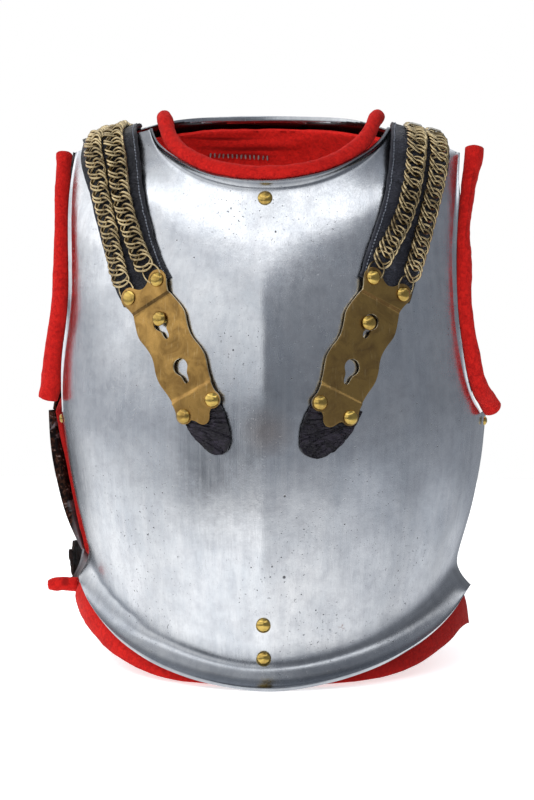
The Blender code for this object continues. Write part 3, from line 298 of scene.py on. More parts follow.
class Shader:
    """A short way to write a Principled material from noises in object space."""

    def __init__(self, name, colour, roughness, metallic, **sockets):
        self.material = bpy.data.materials.new(name)
        self.material.use_nodes = True
        self.tree = self.material.node_tree
        self.principled = self.tree.nodes["Principled BSDF"]
        self.set("Base Color", (*colour, 1.0))
        self.set("Roughness", roughness)
        self.set("Metallic", metallic)
        for socket, value in sockets.items():
            self.set(socket.replace("_", " "), value)
        self.place = self.tree.nodes.new("ShaderNodeTexCoord").outputs["Object"]

    def set(self, socket, value):
        if hasattr(value, "links"):
            self.tree.links.new(value, self.principled.inputs[socket])
        else:
            self.principled.inputs[socket].default_value = value

    def node(self, kind, result, inputs=None, **settings):
        return add_node(self.tree, kind, inputs, **settings).outputs[result]

    def stretched(self, scale):
        return self.node("Mapping", "Vector", {"Vector": self.place, "Scale": scale})

    def noise(self, scale, detail, rough, stretch=None, warp=0.0):
        place = self.stretched(stretch) if stretch else self.place
        return self.node("TexNoise", "Fac", {"Vector": place, "Scale": scale, "Detail": detail,
                                             "Roughness": rough, "Distortion": warp})

    def cells(self, scale, stretch=None):
        """The distance to the nearest border between cells."""
        place = self.stretched(stretch) if stretch else self.place
        return self.node("TexVoronoi", "Distance", {"Vector": place, "Scale": scale},
                         feature="DISTANCE_TO_EDGE")

    def range(self, value, low, high, bottom=0.0, top=1.0):
        return self.node("MapRange", "Result", {"Value": value, "From Min": low, "From Max": high,
                                                "To Min": bottom, "To Max": top})

    def maths(self, operation, one, two=0.0):
        return self.node("Math", "Value", {0: one, 1: two}, operation=operation)

    def times(self, one, two):
        return self.maths("MULTIPLY", one, two)

    def minus(self, one, two):
        return self.maths("SUBTRACT", one, two)

    def mix(self, share, one, two):
        """Colour one where the share is 0, and colour two where it is 1."""
        one = one if hasattr(one, "links") else (*one, 1.0)
        two = two if hasattr(two, "links") else (*two, 1.0)
        return self.node("MixRGB", "Color", {"Fac": share, "Color1": one, "Color2": two})

    def layered(self, colour, *layers):
        """A colour with others over it, each (value, low, high, share, colour).

        None of a layer shows where its value is at low, and its share where it is at high.
        """
        for value, low, high, share, over in layers:
            colour = self.mix(self.range(value, low, high, 0.0, share), colour, over)
        return colour

    def mark(self, x, z, inner, outer):
        """1 within inner of a place on the front, falling to 0 at outer."""
        flat = self.stretched((1.0, 0.0, 1.0))
        away = self.node("VectorMath", "Value", {0: flat, 1: (x, 0.0, z)}, operation="DISTANCE")
        return self.range(away, inner, outer, 1.0, 0.0)

    def part(self, axis):
        return self.node("SeparateXYZ", axis, {"Vector": self.place})

    def bump(self, *layers):
        """Layers of (height, distance in metres), one upon the other."""
        normal = None
        for height, distance in layers:
            inputs = {"Height": height, "Distance": distance, "Strength": 1.0}
            if normal:
                inputs["Normal"] = normal
            normal = self.node("Bump", "Normal", inputs)
        self.set("Normal", normal)


# Pits and marks on the front of the breastplate: x, z and radius in millimetres.
PITS = ((18.1, 88.2, 1.5), (9.0, 96.8, 0.9), (18.8, 151.6, 1.1), (16.0, 104.0, 0.6),
        (7.5, 88.6, 0.7), (-7.0, 96.0, 0.7), (24.0, 241.0, 0.8), (-20.5, 262.0, 0.9),
        (-19.6, 240.5, 0.7), (10.5, 351.0, 0.9), (-52.0, 331.0, 0.8), (-66.0, 344.0, 0.7),
        (31.0, 74.0, 0.6), (-2.5, 78.0, 0.6), (42.0, 61.0, 0.7), (-38.0, 178.0, 0.6),
        (64.0, 128.0, 0.7))
PIT_CORE = 0.45                             # the share of a pit's radius that is fully dark
PIT_COLOUR = (0.05, 0.045, 0.05)

# Stains on the same front: x, z, and the radii between which they fade, in metres.
SMUDGE = (0.006, 0.2007, 0.004, 0.022)
SMUDGE_COLOUR = (0.46, 0.36, 0.30)
BROWN_MARK = (0.0619, 0.0464, 0.0008, 0.0034)
BROWN_COLOUR = (0.20, 0.07, 0.03)

# Painted shade on the breastplate's waist and neck follows curves of this bend, in height over x
# squared.
WAIST_BEND = 2.2
WAIST_PAINTED_SHADE = (0.012, 0.034)                # heights at x = 0 over which the flange's painted shade ends
WAIST_RIM = (-0.002, 0.003)                 # the rim below these is left without painted shade
NECK_BEND = 3.1
NECK_PAINTED_SHADE = (0.3765, 0.3900)
NECK_X = 0.004
# The colour of the painted shade on the breastplate.
PAINTED_SHADE_COLOUR = (0.05, 0.06, 0.08)

RUST_BAND = (0.150, 0.166)                  # how far to the side rust sets in, and is complete
SOOT_COLOUR = (0.008, 0.006, 0.006)
RUST_COLOUR = (0.060, 0.026, 0.016)
BARE_COLOUR = (0.26, 0.24, 0.23)


def front_stains_and_painted_shade(shader, light, mottle):
    """The breastplate's stains, and painted shade on its upward-facing lips, its flange and round
    its neck.
    """
    light = shader.mix(shader.times(shader.mark(*SMUDGE), 0.45), light, SMUDGE_COLOUR)
    brown = shader.times(shader.mark(*BROWN_MARK), shader.range(mottle, 0.42, 0.55))
    light = shader.mix(brown, light, BROWN_COLOUR)
    # Painted shade: darker where the surface faces upward, on the flange and round the neck roll.
    facing = shader.node("TexCoord", "Normal")
    lip = shader.range(shader.node("SeparateXYZ", "Z", {"Vector": facing}), 0.56, 0.80)
    aside, height = shader.part("X"), shader.part("Z")
    waist = shader.minus(height, shader.times(shader.times(aside, aside), WAIST_BEND))
    flange = shader.times(shader.range(waist, *WAIST_PAINTED_SHADE, 1.0, 0.0),
                          shader.range(waist, *WAIST_RIM))
    off = shader.minus(aside, NECK_X)
    neck = shader.minus(height, shader.times(shader.times(off, off), NECK_BEND))
    neck = shader.range(neck, *NECK_PAINTED_SHADE)
    shade = shader.maths("MAXIMUM", shader.times(lip, 0.70), shader.times(flange, 0.50))
    shade = shader.maths("MAXIMUM", shade, shader.times(neck, 0.55))
    return shader.mix(shade, light, PAINTED_SHADE_COLOUR)


def rusted(shader, light, patchy, mottle):
    """(colour, where): grime, rust and a little bare metal down both sides of the plate."""
    band = shader.range(shader.maths("ABSOLUTE", shader.part("X")), *RUST_BAND)
    where = shader.times(band, shader.range(patchy, 0.28, 0.42))
    grain = shader.noise(330.0, 4.0, 0.6)
    grime = shader.layered(SOOT_COLOUR, (grain, 0.46, 0.60, 1.0, RUST_COLOUR))
    bare = shader.times(shader.range(grain, 0.60, 0.66), shader.range(mottle, 0.48, 0.56))
    grime = shader.mix(bare, grime, BARE_COLOUR)
    return shader.mix(where, light, grime), where


def steel_finish(name, tone=1.0, marks_and_painted_shade=False, rust=False):
    """Old brushed steel: streaks, clouds and specks; where it is marked, pits, stains and painted
    shade.
    """
    shader = Shader(name, (0.6, 0.62, 0.65), 0.3, 1.0)
    brush = shader.noise(1.0, 4.0, 0.6, stretch=(1000.0, 1000.0, 14.0))
    wide_brush = shader.noise(1.0, 3.0, 0.55, stretch=(170.0, 170.0, 6.0))
    cloud = shader.noise(11.0, 5.0, 0.6, warp=0.7)
    patchy = shader.noise(34.0, 4.0, 0.6, warp=0.4)
    mottle = shader.noise(110.0, 5.0, 0.65)
    grit = shader.noise(900.0, 3.0, 0.6)
    speck = shader.range(shader.noise(520.0, 2.0, 0.5), 0.67, 0.74)
    patch = shader.range(shader.noise(16.0, 3.0, 0.5), 0.44, 0.62)
    light = shader.layered((0.54, 0.575, 0.62),
                           (cloud, 0.34, 0.66, 1.00, (0.72, 0.74, 0.77)),
                           (patchy, 0.45, 0.72, 0.30, (0.42, 0.46, 0.53)),
                           (mottle, 0.42, 0.70, 0.42, (0.40, 0.41, 0.45)),
                           (wide_brush, 0.42, 0.72, 0.25, (0.84, 0.85, 0.87)),
                           (brush, 0.55, 0.75, 0.20, (0.40, 0.42, 0.45)))
    light = shader.mix(1.0 - tone, light, (0.0, 0.0, 0.0))
    spots = shader.times(speck, patch)
    if marks_and_painted_shade:
        for x, z, radius in PITS:
            here = shader.mark(x * MM, z * MM, radius * PIT_CORE * MM, radius * MM)
            spots = shader.maths("MAXIMUM", spots, here)
        light = front_stains_and_painted_shade(shader, light, mottle)
    light = shader.mix(shader.times(spots, 0.85), light, PIT_COLOUR)
    rough = shader.range(brush, 0.25, 0.75, 0.13, 0.24)
    rough = shader.maths("ADD", rough, shader.range(patchy, 0.35, 0.7, 0.0, 0.09))
    if rust:
        light, where = rusted(shader, light, patchy, mottle)
        rough = shader.maths("ADD", rough, shader.times(where, 0.6))
        shader.set("Metallic", shader.range(where, 0.0, 1.0, 1.0, 0.2))
        shader.set("Specular IOR Level", shader.range(where, 0.0, 1.0, 0.5, 0.05))
    shader.set("Base Color", light)
    shader.set("Roughness", shader.maths("ADD", rough, shader.times(spots, 0.3)))
    shader.bump((wide_brush, 0.00010), (brush, 0.00004), (mottle, 0.00007), (grit, 0.00002),
                (spots, -0.00008))
    return shader


RED, RED_DARK = (0.60, 0.014, 0.010), (0.34, 0.005, 0.005)
RED_FIBRE = (0.78, 0.06, 0.07)
# The colour of the felt's painted shade.
RED_PAINTED_SHADE = (0.13, 0.004, 0.004)
# Painted shade along the lining's folds and down its side seam: x, z, half length and half height
# in metres.
FOLD_PAINTED_SHADE = ((-0.045, 0.4250, 0.034, 0.0016), (-0.025, 0.4166, 0.046, 0.0024),
               (-0.030, 0.4105, 0.034, 0.0022), (-0.165, 0.180, 0.060, 0.200))
# The same painted shade for the breastplate's lining, in the side seam and at the right end of its
# band.
FRONT_PAINTED_SHADE = ((-0.150, 0.190, 0.035, 0.14), (0.150, 0.030, 0.130, 0.07))
# And painted shade in the hollow of the curl.
CURL_PAINTED_SHADE = ((-0.1695, 0.0590, 0.0034, 0.0034),)


def wool_finish(name, colour=RED, dark=RED_DARK, painted_shades=()):
    """Red felt, with painted shade in soft-edged ovals of (x, z, half length, half height)."""
    shader = Shader(name, colour, 0.93, 0.0, Sheen_Weight=0.12, Sheen_Roughness=0.5,
                    Sheen_Tint=(1.0, 0.25, 0.22, 1.0), Specular_IOR_Level=0.15)
    fibre = shader.noise(1500.0, 4.0, 0.7, warp=1.2)
    felt = shader.noise(320.0, 4.0, 0.6, warp=0.8)
    soil = shader.noise(28.0, 4.0, 0.6)
    waver = shader.range(shader.noise(30.0, 2.0, 0.5), 0.3, 0.7, -0.001, 0.001)
    tint = shader.layered(colour, (felt, 0.35, 0.7, 1.0, dark), (soil, 0.5, 0.8, 0.3, dark),
                          (fibre, 0.6, 0.8, 0.25, RED_FIBRE))
    # Each oval paints shade into the felt.
    for x, z, half_length, half_height in painted_shades:
        aside = shader.maths("DIVIDE", shader.minus(shader.part("X"), x), half_length)
        height = shader.maths("ADD", shader.part("Z"), waver)
        lift = shader.maths("DIVIDE", shader.minus(height, z), half_height)
        away = shader.maths("ADD", shader.times(aside, aside), shader.times(lift, lift))
        tint = shader.mix(shader.range(away, 0.1, 1.1, 0.62, 0.0), tint, RED_PAINTED_SHADE)
    shader.set("Base Color", tint)
    shader.bump((felt, 0.0006), (fibre, 0.00025))
    return shader


BRASS_SCRATCH = (0.80, 0.62, 0.34)


def brass_finish(name, colour, dark, roughness):
    """Brass with stains, flecks and fine bright scratches."""
    shader = Shader(name, colour, roughness, 1.0)
    stain = shader.noise(60.0, 5.0, 0.62, warp=0.8)
    fleck = shader.noise(700.0, 3.0, 0.6)
    scratch = shader.noise(1.0, 3.0, 0.6, stretch=(900.0, 500.0, 60.0))
    shader.set("Base Color", shader.layered(colour, (stain, 0.42, 0.68, 1.0, dark),
                                            (fleck, 0.56, 0.75, 0.4, dark),
                                            (scratch, 0.60, 0.75, 0.35, BRASS_SCRATCH)))
    shader.set("Roughness", shader.range(stain, 0.3, 0.7, roughness - 0.06, roughness + 0.14))
    shader.bump((stain, 0.00008), (fleck, 0.00005))
    return shader


CRACK_COLOUR = (0.006, 0.006, 0.008)


def leather_finish(name, colour, worn, roughness, crack_scale=260.0):
    """Old leather, or waxed thread: worn in patches, finely cracked and folded."""
    shader = Shader(name, colour, roughness, 0.0, Specular_IOR_Level=0.30)
    grain = shader.cells(1100.0)
    crack = shader.range(shader.cells(crack_scale, stretch=(1.0, 1.0, 2.6)), 0.0, 0.10)
    fold = shader.noise(1.0, 4.0, 0.6, stretch=(55.0, 55.0, 420.0))
    wear = shader.noise(90.0, 5.0, 0.65, warp=1.0)
    tint = shader.layered(colour, (wear, 0.46, 0.75, 1.0, worn))
    tint = shader.mix(shader.range(crack, 0.0, 1.0, 0.55, 0.0), tint, CRACK_COLOUR)
    shader.set("Base Color", tint)
    shader.set("Roughness", shader.range(wear, 0.3, 0.7, roughness - 0.12, roughness + 0.16))
    shader.bump((fold, 0.0006), (crack, 0.00035), (grain, 0.00010))
    return shader


# The breastplate's steel, with pits, stains and painted shade.
steel = steel_finish("brushed_steel", marks_and_painted_shade=True)
steel_back = steel_finish("dull_steel", 0.80, rust=True)
# Near-black steel: painted shade on the inside of the collar.
steel_black = steel_finish("painted_shade_steel", 0.10)
wool = wool_finish("red_felt")
wool_front = wool_finish("front_felt", painted_shades=FRONT_PAINTED_SHADE)
wool_curl = wool_finish("curl_felt", painted_shades=CURL_PAINTED_SHADE)
# A lighter copy of the red felt for the back lining: painted light, making up for the shade inside
# the collar.
wool_lining = wool_finish("red_lining", (0.80, 0.022, 0.016), (0.50, 0.010, 0.009), FOLD_PAINTED_SHADE)
brass = brass_finish("aged_brass", (0.46, 0.275, 0.085), (0.24, 0.140, 0.045), 0.30)
brass_olive = brass_finish("olive_brass", (0.40, 0.255, 0.085), (0.20, 0.125, 0.050), 0.32)
# Brass for the plates' rims: worn bright, and lighter still as a painted highlight.
brass_edge = brass_finish("worn_brass_edge_painted_highlight", (0.80, 0.64, 0.36), (0.42, 0.30, 0.15), 0.26)
brass_bright = brass_finish("rivet_brass", (0.62, 0.44, 0.12), (0.34, 0.21, 0.06), 0.20)
brass_chain = brass_finish("chain_wire", (0.62, 0.50, 0.29), (0.12, 0.085, 0.045), 0.20)
# Dark brass: painted shade on the rib faces in the plates' upper half.
brass_fold_painted_shade = brass_finish("fold_painted_shade_brass", (0.16, 0.095, 0.035), (0.08, 0.05, 0.02), 0.42)
brass_clip = brass_finish("clip_brass", (0.46, 0.44, 0.38), (0.20, 0.18, 0.15), 0.34)
leather = leather_finish("blue_black_leather", (0.009, 0.010, 0.015), (0.036, 0.038, 0.050), 0.44)
# A lighter copy of the strap leather for the right strap: painted sheen.
leather_right = leather_finish("leather_painted_sheen", (0.024, 0.026, 0.037), (0.075, 0.080, 0.105), 0.44)
leather_tip = leather_finish("tip_leather", (0.005, 0.004, 0.008), (0.030, 0.024, 0.040), 0.34,
                             170.0)
leather_belt = leather_finish("belt_leather", (0.014, 0.007, 0.006), (0.070, 0.030, 0.020), 0.6,
                              300.0)
thread = leather_finish("waxed_thread", (0.30, 0.33, 0.40), (0.52, 0.55, 0.62), 0.45, 900.0)
pale_thread = leather_finish("pale_thread", (0.42, 0.38, 0.37), (0.62, 0.58, 0.56), 0.8, 900.0)


# ================================================================================ plates
RIDGE_X = middle_of("rivet_neck").x
RIDGE_REACH = 0.8 * MM                      # how far from the ridge its edges may lie
RIDGE_CREASE = 0.9
RIDGE_FOOT = (0.035, 0.10)                  # the heights over which the ridge grows sharp
RIDGE_TOP = (0.30, 0.35)                    # and soft again
FLANGE_SMOOTH = (0.004, 0.034)              # the backplate's hammering sets in above its flange
COLLAR_INSIDE = (0.38, 0.4385)              # the heights of the inside of the collar, given painted shade in near-black steel
BREAST_WAVES = ((0.090, 0.0015), (0.034, 0.00035))
BACK_WAVES = ((0.085, 0.0008), (0.030, 0.00020))


def plates():
    """The steel, with its medial ridge kept sharp and painted shade, near black, on the inside of
    the collar.
    """
    def ridge(edge):
        if any(abs(vert.co.x - RIDGE_X) >= RIDGE_REACH for vert in edge.verts):
            return 0.0
        height = (edge.verts[0].co.z + edge.verts[1].co.z) / 2
        return RIDGE_CREASE * between(height, *RIDGE_FOOT) * (1.0 - between(height, *RIDGE_TOP))

    breast = fine("breastplate", "breastplate_steel", line=ridge)
    ruffle(breast, *BREAST_WAVES, seed=3.1)
    bevel(breast, 0.5 * MM)
    keep(breast, "breastplate", slot="polished_steel", finish=steel)
    back = fine("backplate", "backplate_steel")
    ruffle(back, *BACK_WAVES, seed=8.4, only=lambda spot: between(spot.z, *FLANGE_SMOOTH))
    bevel(back, 0.4 * MM)
    keep(back, "backplate", slot="polished_steel", finish=steel_back)
    back.data.materials.append(steel_black.material)
    low, high = COLLAR_INSIDE
    # The inward faces inside the collar take the near-black steel as painted shade.
    for face in back.data.polygons:
        inward = Vector((face.center.x, face.center.y, 0.0)).dot(face.normal) < -0.02
        if inward and low < face.center.z < high:
            face.material_index = 1


# ================================================================================== wool
SOFT_ANGLE = 60.0                           # only folds sharper than this stay sharp in wool
ROLL_WAVES = ((0.022, 0.0010), (0.0060, 0.0004), (0.0018, 0.00015))
LINING_WAVES = ((0.040, 0.0012), (0.012, 0.0006), (0.004, 0.0002))
ROLL_SEEDS = {"neck_roll": 1.0, "armhole_roll_left": 2.3, "armhole_roll_right": 4.7,
              "band_curl_left": 6.1}
ROLL_FULL = 0.7 * MM                        # the padding stands this far beyond the CAD roll
CURL_REACH = Vector((0.0058, -0.0015, -0.0012))     # the curl's inner end is drawn under the lip
ROLL_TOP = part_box("armhole_roll_right")[1]
# The right roll is slimmer on its outer side, from the first pair of heights to the second.
SLIM_FOOT = (0.330, 0.352)
SLIM_TOP = (0.386, 0.408)
SLIM_BY = 4.2 * MM
# Its end's knob and the dimple beside it: how far in and down from its box's top corner, height
# and width.
KNOBS = ((0.0020, 0.0030, 0.0050, 0.0040), (0.0085, 0.0005, -0.0036, 0.0036))


def knob(point):
    """How far the end of the right roll stands out or in."""
    return sum(height * bell(math.hypot(point.x - ROLL_TOP.x + inward, point.z - ROLL_TOP.z + down),
                             0.0, width) for inward, down, height, width in KNOBS)


def rolls():
    """The padded rolls, each a little uneven along its length."""
    for node, seed in ROLL_SEEDS.items():
        roll = fine(node, node + "_wool", angle=SOFT_ANGLE)
        swell(roll, ROLL_FULL)
        if node == "band_curl_left":
            low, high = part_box(node)
            for vert in roll.data.vertices:
                vert.co += CURL_REACH * between(vert.co.x, (low.x + high.x) / 2, high.x)
        if node == "armhole_roll_right":
            for vert in roll.data.vertices:
                slim = between(vert.co.z, *SLIM_FOOT) * (1.0 - between(vert.co.z, *SLIM_TOP))
                vert.co.x -= SLIM_BY * slim * max(vert.normal.x, 0.0)
            swell(roll, knob)
        ruffle(roll, *ROLL_WAVES, seed=seed)
        keep(roll, node, slot="red_wool", finish=wool_curl if node == "band_curl_left" else wool)


# Folds across the lining inside the collar: height, left and right end, and depth.
FOLDS = ((0.4262, -0.075, -0.008, 0.0030), (0.4178, -0.072, 0.030, 0.0034),
         (0.4225, 0.005, 0.060, 0.0016))
FOLD_WANDER = 1.6 * MM                      # how far a fold's height strays along its length
FOLD_FADE = 0.02                            # the length over which it ends
FOLD_EDGE = (-0.0006, 0.0014)               # over these heights past its own it comes out,
FOLD_BACK = (0.002, 0.011)                  # and over these it goes back in
COLLAR_FROM = (0.05, 0.40)                  # the y and z beyond which the lining has folds


def fold_lift(point, height, left, right, deep):
    """How far a fold brings the lining forward at a point."""
    wander = noise.noise(Vector((point.x / 0.035, height * 90.0, 0.0)))
    above = point.z - height - FOLD_WANDER * wander
    along = between(point.x, left, left + FOLD_FADE) * between(right - point.x, 0.0, FOLD_FADE)
    return deep * along * between(above, *FOLD_EDGE) * (1.0 - between(above, *FOLD_BACK))


def linings():
    """The felt linings, with soft folds across the part that shows inside the collar."""
    front = fine("breast_lining", "breast_lining_wool", angle=SOFT_ANGLE)
    ruffle(front, *LINING_WAVES, seed=5.5)
    keep(front, "breast_lining", slot="red_wool", finish=wool_front)
    back = fine("back_lining", "back_lining_wool", 4, SOFT_ANGLE)
    least_y, least_z = COLLAR_FROM
    for vert in back.data.vertices:
        point = vert.co.copy()
        if point.y > least_y and point.z > least_z:
            vert.co.y -= sum(fold_lift(point, *fold) for fold in FOLDS)
    ruffle(back, *LINING_WAVES, seed=7.5)
    keep(back, "back_lining", slot="red_wool", finish=wool_lining)
    collar_stitches(back)


# ============================================================================== stitches
STITCH_ROW = ((-0.0560, 0.4118), (-0.0050, 0.4092))     # its two ends: x and height
STITCH_PITCH = 3.7 * MM
STITCH_HALF = 2.6 * MM
STITCH_RADIUS = 0.75 * MM
STITCH_STEPS = 6
BEFORE_COLLAR = 0.03                        # the y from which the lining is looked for


def surface_of(made):
    """A tree for ray casts onto the object's mesh."""
    bm = bmesh.new()
    bm.from_mesh(made.data)
    tree = BVHTree.FromBMesh(bm)
    bm.free()
    return tree


def collar_stitches(lining):
    """A row of thick pale stitches across the lining, low behind the neck roll."""
    ground = surface_of(lining)
    bm = bmesh.new()
    chance = random.Random("stitches")
    (start, _), (end, _) = STITCH_ROW
    for index in range(int((end - start) / STITCH_PITCH) + 1):
        x = start + index * STITCH_PITCH + chance.uniform(-0.0003, 0.0003)
        spot = Vector((x, BEFORE_COLLAR, graded(x, STITCH_ROW)))
        found, normal, _, _ = ground.ray_cast(spot, Vector((0.0, 1.0, 0.0)))
        if found is None:
            continue
        lean = Vector((chance.uniform(-0.15, 0.15), 0.0, 1.0)).normalized()
        half = STITCH_HALF * chance.uniform(0.85, 1.1)
        line = []
        for step in range(STITCH_STEPS + 1):
            rise = 0.0009 * math.sin(math.pi * step / STITCH_STEPS) - 0.0002
            line.append(found + normal * rise + lean * half * (2 * step / STITCH_STEPS - 1))
        add_thread(bm, line, STITCH_RADIUS)
    keep(as_object(bm, "collar_stitches"), finish=pale_thread)


def add_tube(bm, loops, closed=False):
    """Quads between rings of vertices, one after the other."""
    for here, there in zip(loops, loops[1:] + loops[:1] if closed else loops[1:]):
        for side in range(len(here)):
            onward = (side + 1) % len(here)
            bm.faces.new((here[side], here[onward], there[onward], there[side]))


def ring_round(bm, spot, side, up, radius, sides):
    """Vertices on a circle round a spot."""
    return [bm.verts.new(spot + radius * (side * math.cos(angle) + up * math.sin(angle)))
            for angle in (math.tau * turn / sides for turn in range(sides))]


def add_thread(bm, line, radius, sides=6):
    """A round thread along an open line, thinning to a point at both ends."""
    loops = []
    for step, spot in enumerate(line):
        ahead = (line[min(step + 1, len(line) - 1)] - line[max(step - 1, 0)]).normalized()
        side = ahead.orthogonal().normalized()
        size = radius * max(math.sin(math.pi * (step + 0.5) / len(line)), 0.25) ** 0.4
        loops.append(ring_round(bm, spot, side, ahead.cross(side), size, sides))
    add_tube(bm, loops)
    bm.faces.new(list(reversed(loops[0])))
    bm.faces.new(loops[-1])


# ================================================================================ chains
LINK_PITCH = 10.2 * MM
FIRST_LINK = 4.0 * MM
LINK_HALF_LENGTH = 6.7 * MM
LINK_HALF_WIDTH = 7.6 * MM
LINK_TWIST = math.radians(32.0)
WIRE_SPREAD = 1.85 * MM                     # half the step between a link's two wires
WIRE_RADIUS = 0.98 * MM
WIRE_STEPS = 32
WIRE_SIDES = 7
END_RING_RADIUS = 6.6 * MM
END_WIRE_RADIUS = 0.8 * MM
RIVET_UNDER = 3.5 * MM                      # how far under its rivet's middle the end ring lies
# How far each chain lies to the right of its tube: (height, millimetres).
LANES = {
    "outer_left": ((0.300, 0.0), (0.380, 0.3), (0.420, 3.2)),
    "inner_left": ((0.300, -1.0), (0.330, -3.2), (0.390, -3.8), (0.420, -2.5)),
    "inner_right": ((0.300, 1.6), (0.380, 1.2), (0.420, 1.8)),
    "outer_right": ((0.300, 1.2), (0.380, -0.6), (0.420, -1.8)),
}
# At the crest of the shoulder the links lie flatter and sink into the strap.
CREST_Y = {"left": 0.012, "right": -0.013}
CREST_WIDTH = 0.026
CREST_SINK = 2.9 * MM
CREST_FLATTEN = 0.7
CLIP_AHEAD = 0.010
CLIP_HALF_WIDTH = 6.0 * MM
CLIP_HALF_LENGTH = 3.8 * MM
CLIP_RISE = 4.4 * MM
CLIP_FOLD_FROM = 0.72                       # the share of its half width where it folds down
CLIP_FOLD_DROP = 2.2 * MM
CLIP_BOW = 0.5 * MM
CLIP_STEPS = (8, 4)                         # across and along


def graded(value, table):
    """The result at a value, along straight lines through (value, result) pairs."""
    if value <= table[0][0]:
        return table[0][1]
    for (low, first), (high, second) in zip(table, table[1:]):
        if value <= high:
            return first + (second - first) * (value - low) / (high - low)
    return table[-1][1]


def add_wire(bm, line, middle, radius):
    """A closed round wire along a line of points."""
    loops = []
    for step, spot in enumerate(line):
        ahead = (line[(step + 1) % len(line)] - line[step - 1]).normalized()
        side = ahead.cross(spot - middle).normalized()
        loops.append(ring_round(bm, spot, side, side.cross(ahead), radius, WIRE_SIDES))
    add_tube(bm, loops, closed=True)


def add_link(bm, place, shift, size, flat):
    """One wire of a doubled link, twisted so that it passes through its neighbours."""
    point, along, across, outward = place
    line = []
    for step in range(WIRE_STEPS):
        turn = math.tau * step / WIRE_STEPS
        width = LINK_HALF_WIDTH * size * math.sin(turn)
        twist = LINK_TWIST * (1.0 - CREST_FLATTEN * flat) * math.cos(turn)
        line.append(point + along * (LINK_HALF_LENGTH * math.cos(turn) + shift)
                    + across * width * math.cos(twist) + outward * width * math.sin(twist))
    add_wire(bm, line, point + along * shift, WIRE_RADIUS)


def add_clip(bm, place, chance):
    """A flat folded tab that holds the chain down where it goes over the shoulder."""
    point, along, across, outward = place
    tilt = chance.uniform(-0.12, 0.12)
    wide, long = CLIP_STEPS
    grid = []
    for step in range(wide + 1):
        share = 2 * step / wide - 1
        fold = max(abs(share) - CLIP_FOLD_FROM, 0.0) / (1.0 - CLIP_FOLD_FROM)
        row = []
        for part in range(long + 1):
            reach = 2 * part / long - 1
            length = reach * CLIP_HALF_LENGTH
            drop = CLIP_FOLD_DROP * fold + CLIP_BOW * reach ** 2
            row.append(bm.verts.new(point + across * (share * CLIP_HALF_WIDTH + tilt * length)
                                    + along * (length - tilt * share * CLIP_HALF_WIDTH)
                                    + outward * (CLIP_RISE - drop)))
        grid.append(row)
    faces = [bm.faces.new((here[part], there[part], there[part + 1], here[part + 1]))
             for here, there in zip(grid, grid[1:]) for part in range(long)]
    bmesh.ops.recalc_face_normals(bm, faces=faces)
    bmesh.ops.solidify(bm, geom=faces, thickness=1.2 * MM)


def add_end_ring(bm, place, rivet):
    """The plain ring that joins the last link to its ear of the hook plate."""
    point, along, across, outward = place
    start = point - along * LINK_HALF_LENGTH * 0.8
    middle = start.lerp(rivet - outward * RIVET_UNDER, 0.5)
    reach = (rivet - start).length / 2 + 1.5 * MM
    ahead = (rivet - start).normalized()
    aside = (across - ahead * across.dot(ahead)).normalized()
    line = [middle + ahead * reach * math.cos(turn) + aside * END_RING_RADIUS * math.sin(turn)
            for turn in (math.tau * step / WIRE_STEPS for step in range(WIRE_STEPS))]
    add_wire(bm, line, middle, END_WIRE_RADIUS)


def add_chain(side, lane):
    """One chain of doubled links, its end ring, and its clip as a piece of its own."""
    node = f"chain_{lane}_{side}"
    chance = random.Random(node)
    bm = bmesh.new()
    places = resample(frames_of(rings(node, 6)), LINK_PITCH, FIRST_LINK)
    for index, (point, along, across, outward) in enumerate(places):
        point = point + across * graded(point.z, LANES[f"{lane}_{side}"]) * MM
        flat = bell(point.y, CREST_Y[side], CREST_WIDTH)
        point = point - outward * CREST_SINK * flat
        places[index] = (point, along, across, outward)
        lean = chance.uniform(-0.10, 0.10)
        turned = (across + along * lean).normalized()
        straight = (along - across * lean).normalized()
        spread = WIRE_SPREAD * chance.uniform(0.85, 1.1)
        for shift in (-spread, spread):
            add_link(bm, (point, straight, turned, outward), shift, chance.uniform(0.95, 1.02),
                     flat)
    add_end_ring(bm, places[0], middle_of(f"rivet_ear_{lane}_{side}"))
    bmesh.ops.recalc_face_normals(bm, faces=bm.faces[:])
    keep(as_object(bm, node + "_links"), node, slot="chain_brass", finish=brass_chain)
    clip_y = CREST_Y[side] - CLIP_AHEAD
    bm = bmesh.new()
    add_clip(bm, min(places, key=lambda place: abs(place[0].y - clip_y)), chance)
    clip = bevel(as_object(bm, f"chain_clip_{lane}_{side}"), 0.3 * MM)
    keep(clip, slot="chain_brass", finish=brass_clip)


def chains():
    for side in SIDES:
        for lane in ("outer", "inner"):
            add_chain(side, lane)


# =============================================================================== leather
THREAD_PITCH = 2.7 * MM
THREAD_INSET = 2.4 * MM                     # from the strap's edge on the neck's side
THREAD_RADIUS = 0.52 * MM
THREAD_HALF = 1.0 * MM
THREAD_STEPS = 4
FIRST_THREAD = 6.0 * MM
EDGE_STEP = 0.5 * MM                        # the strap's edge is felt for by this step, from
EDGE_STEPS = range(60, 10, -1)              # so many steps out down to so few
ABOVE_STRAP = 8.0 * MM
STRAP_WAVES = ((0.010, 0.0006), (0.0035, 0.0003))
TIP_WAVES = ((0.006, 0.0006), (0.0022, 0.0003))
STUB_WAVES = ((0.008, 0.0012), (0.003, 0.0008))
CRACK_DEPTH = 1.1 * MM
CRACK_WIDTH = 0.09                          # in the noise that draws the cracks
CRACK_START = (0.006, 0.014)                # how far from the plate's foot they deepen
CRACK_SEEDS = {"left": 3.0, "right": 9.0}


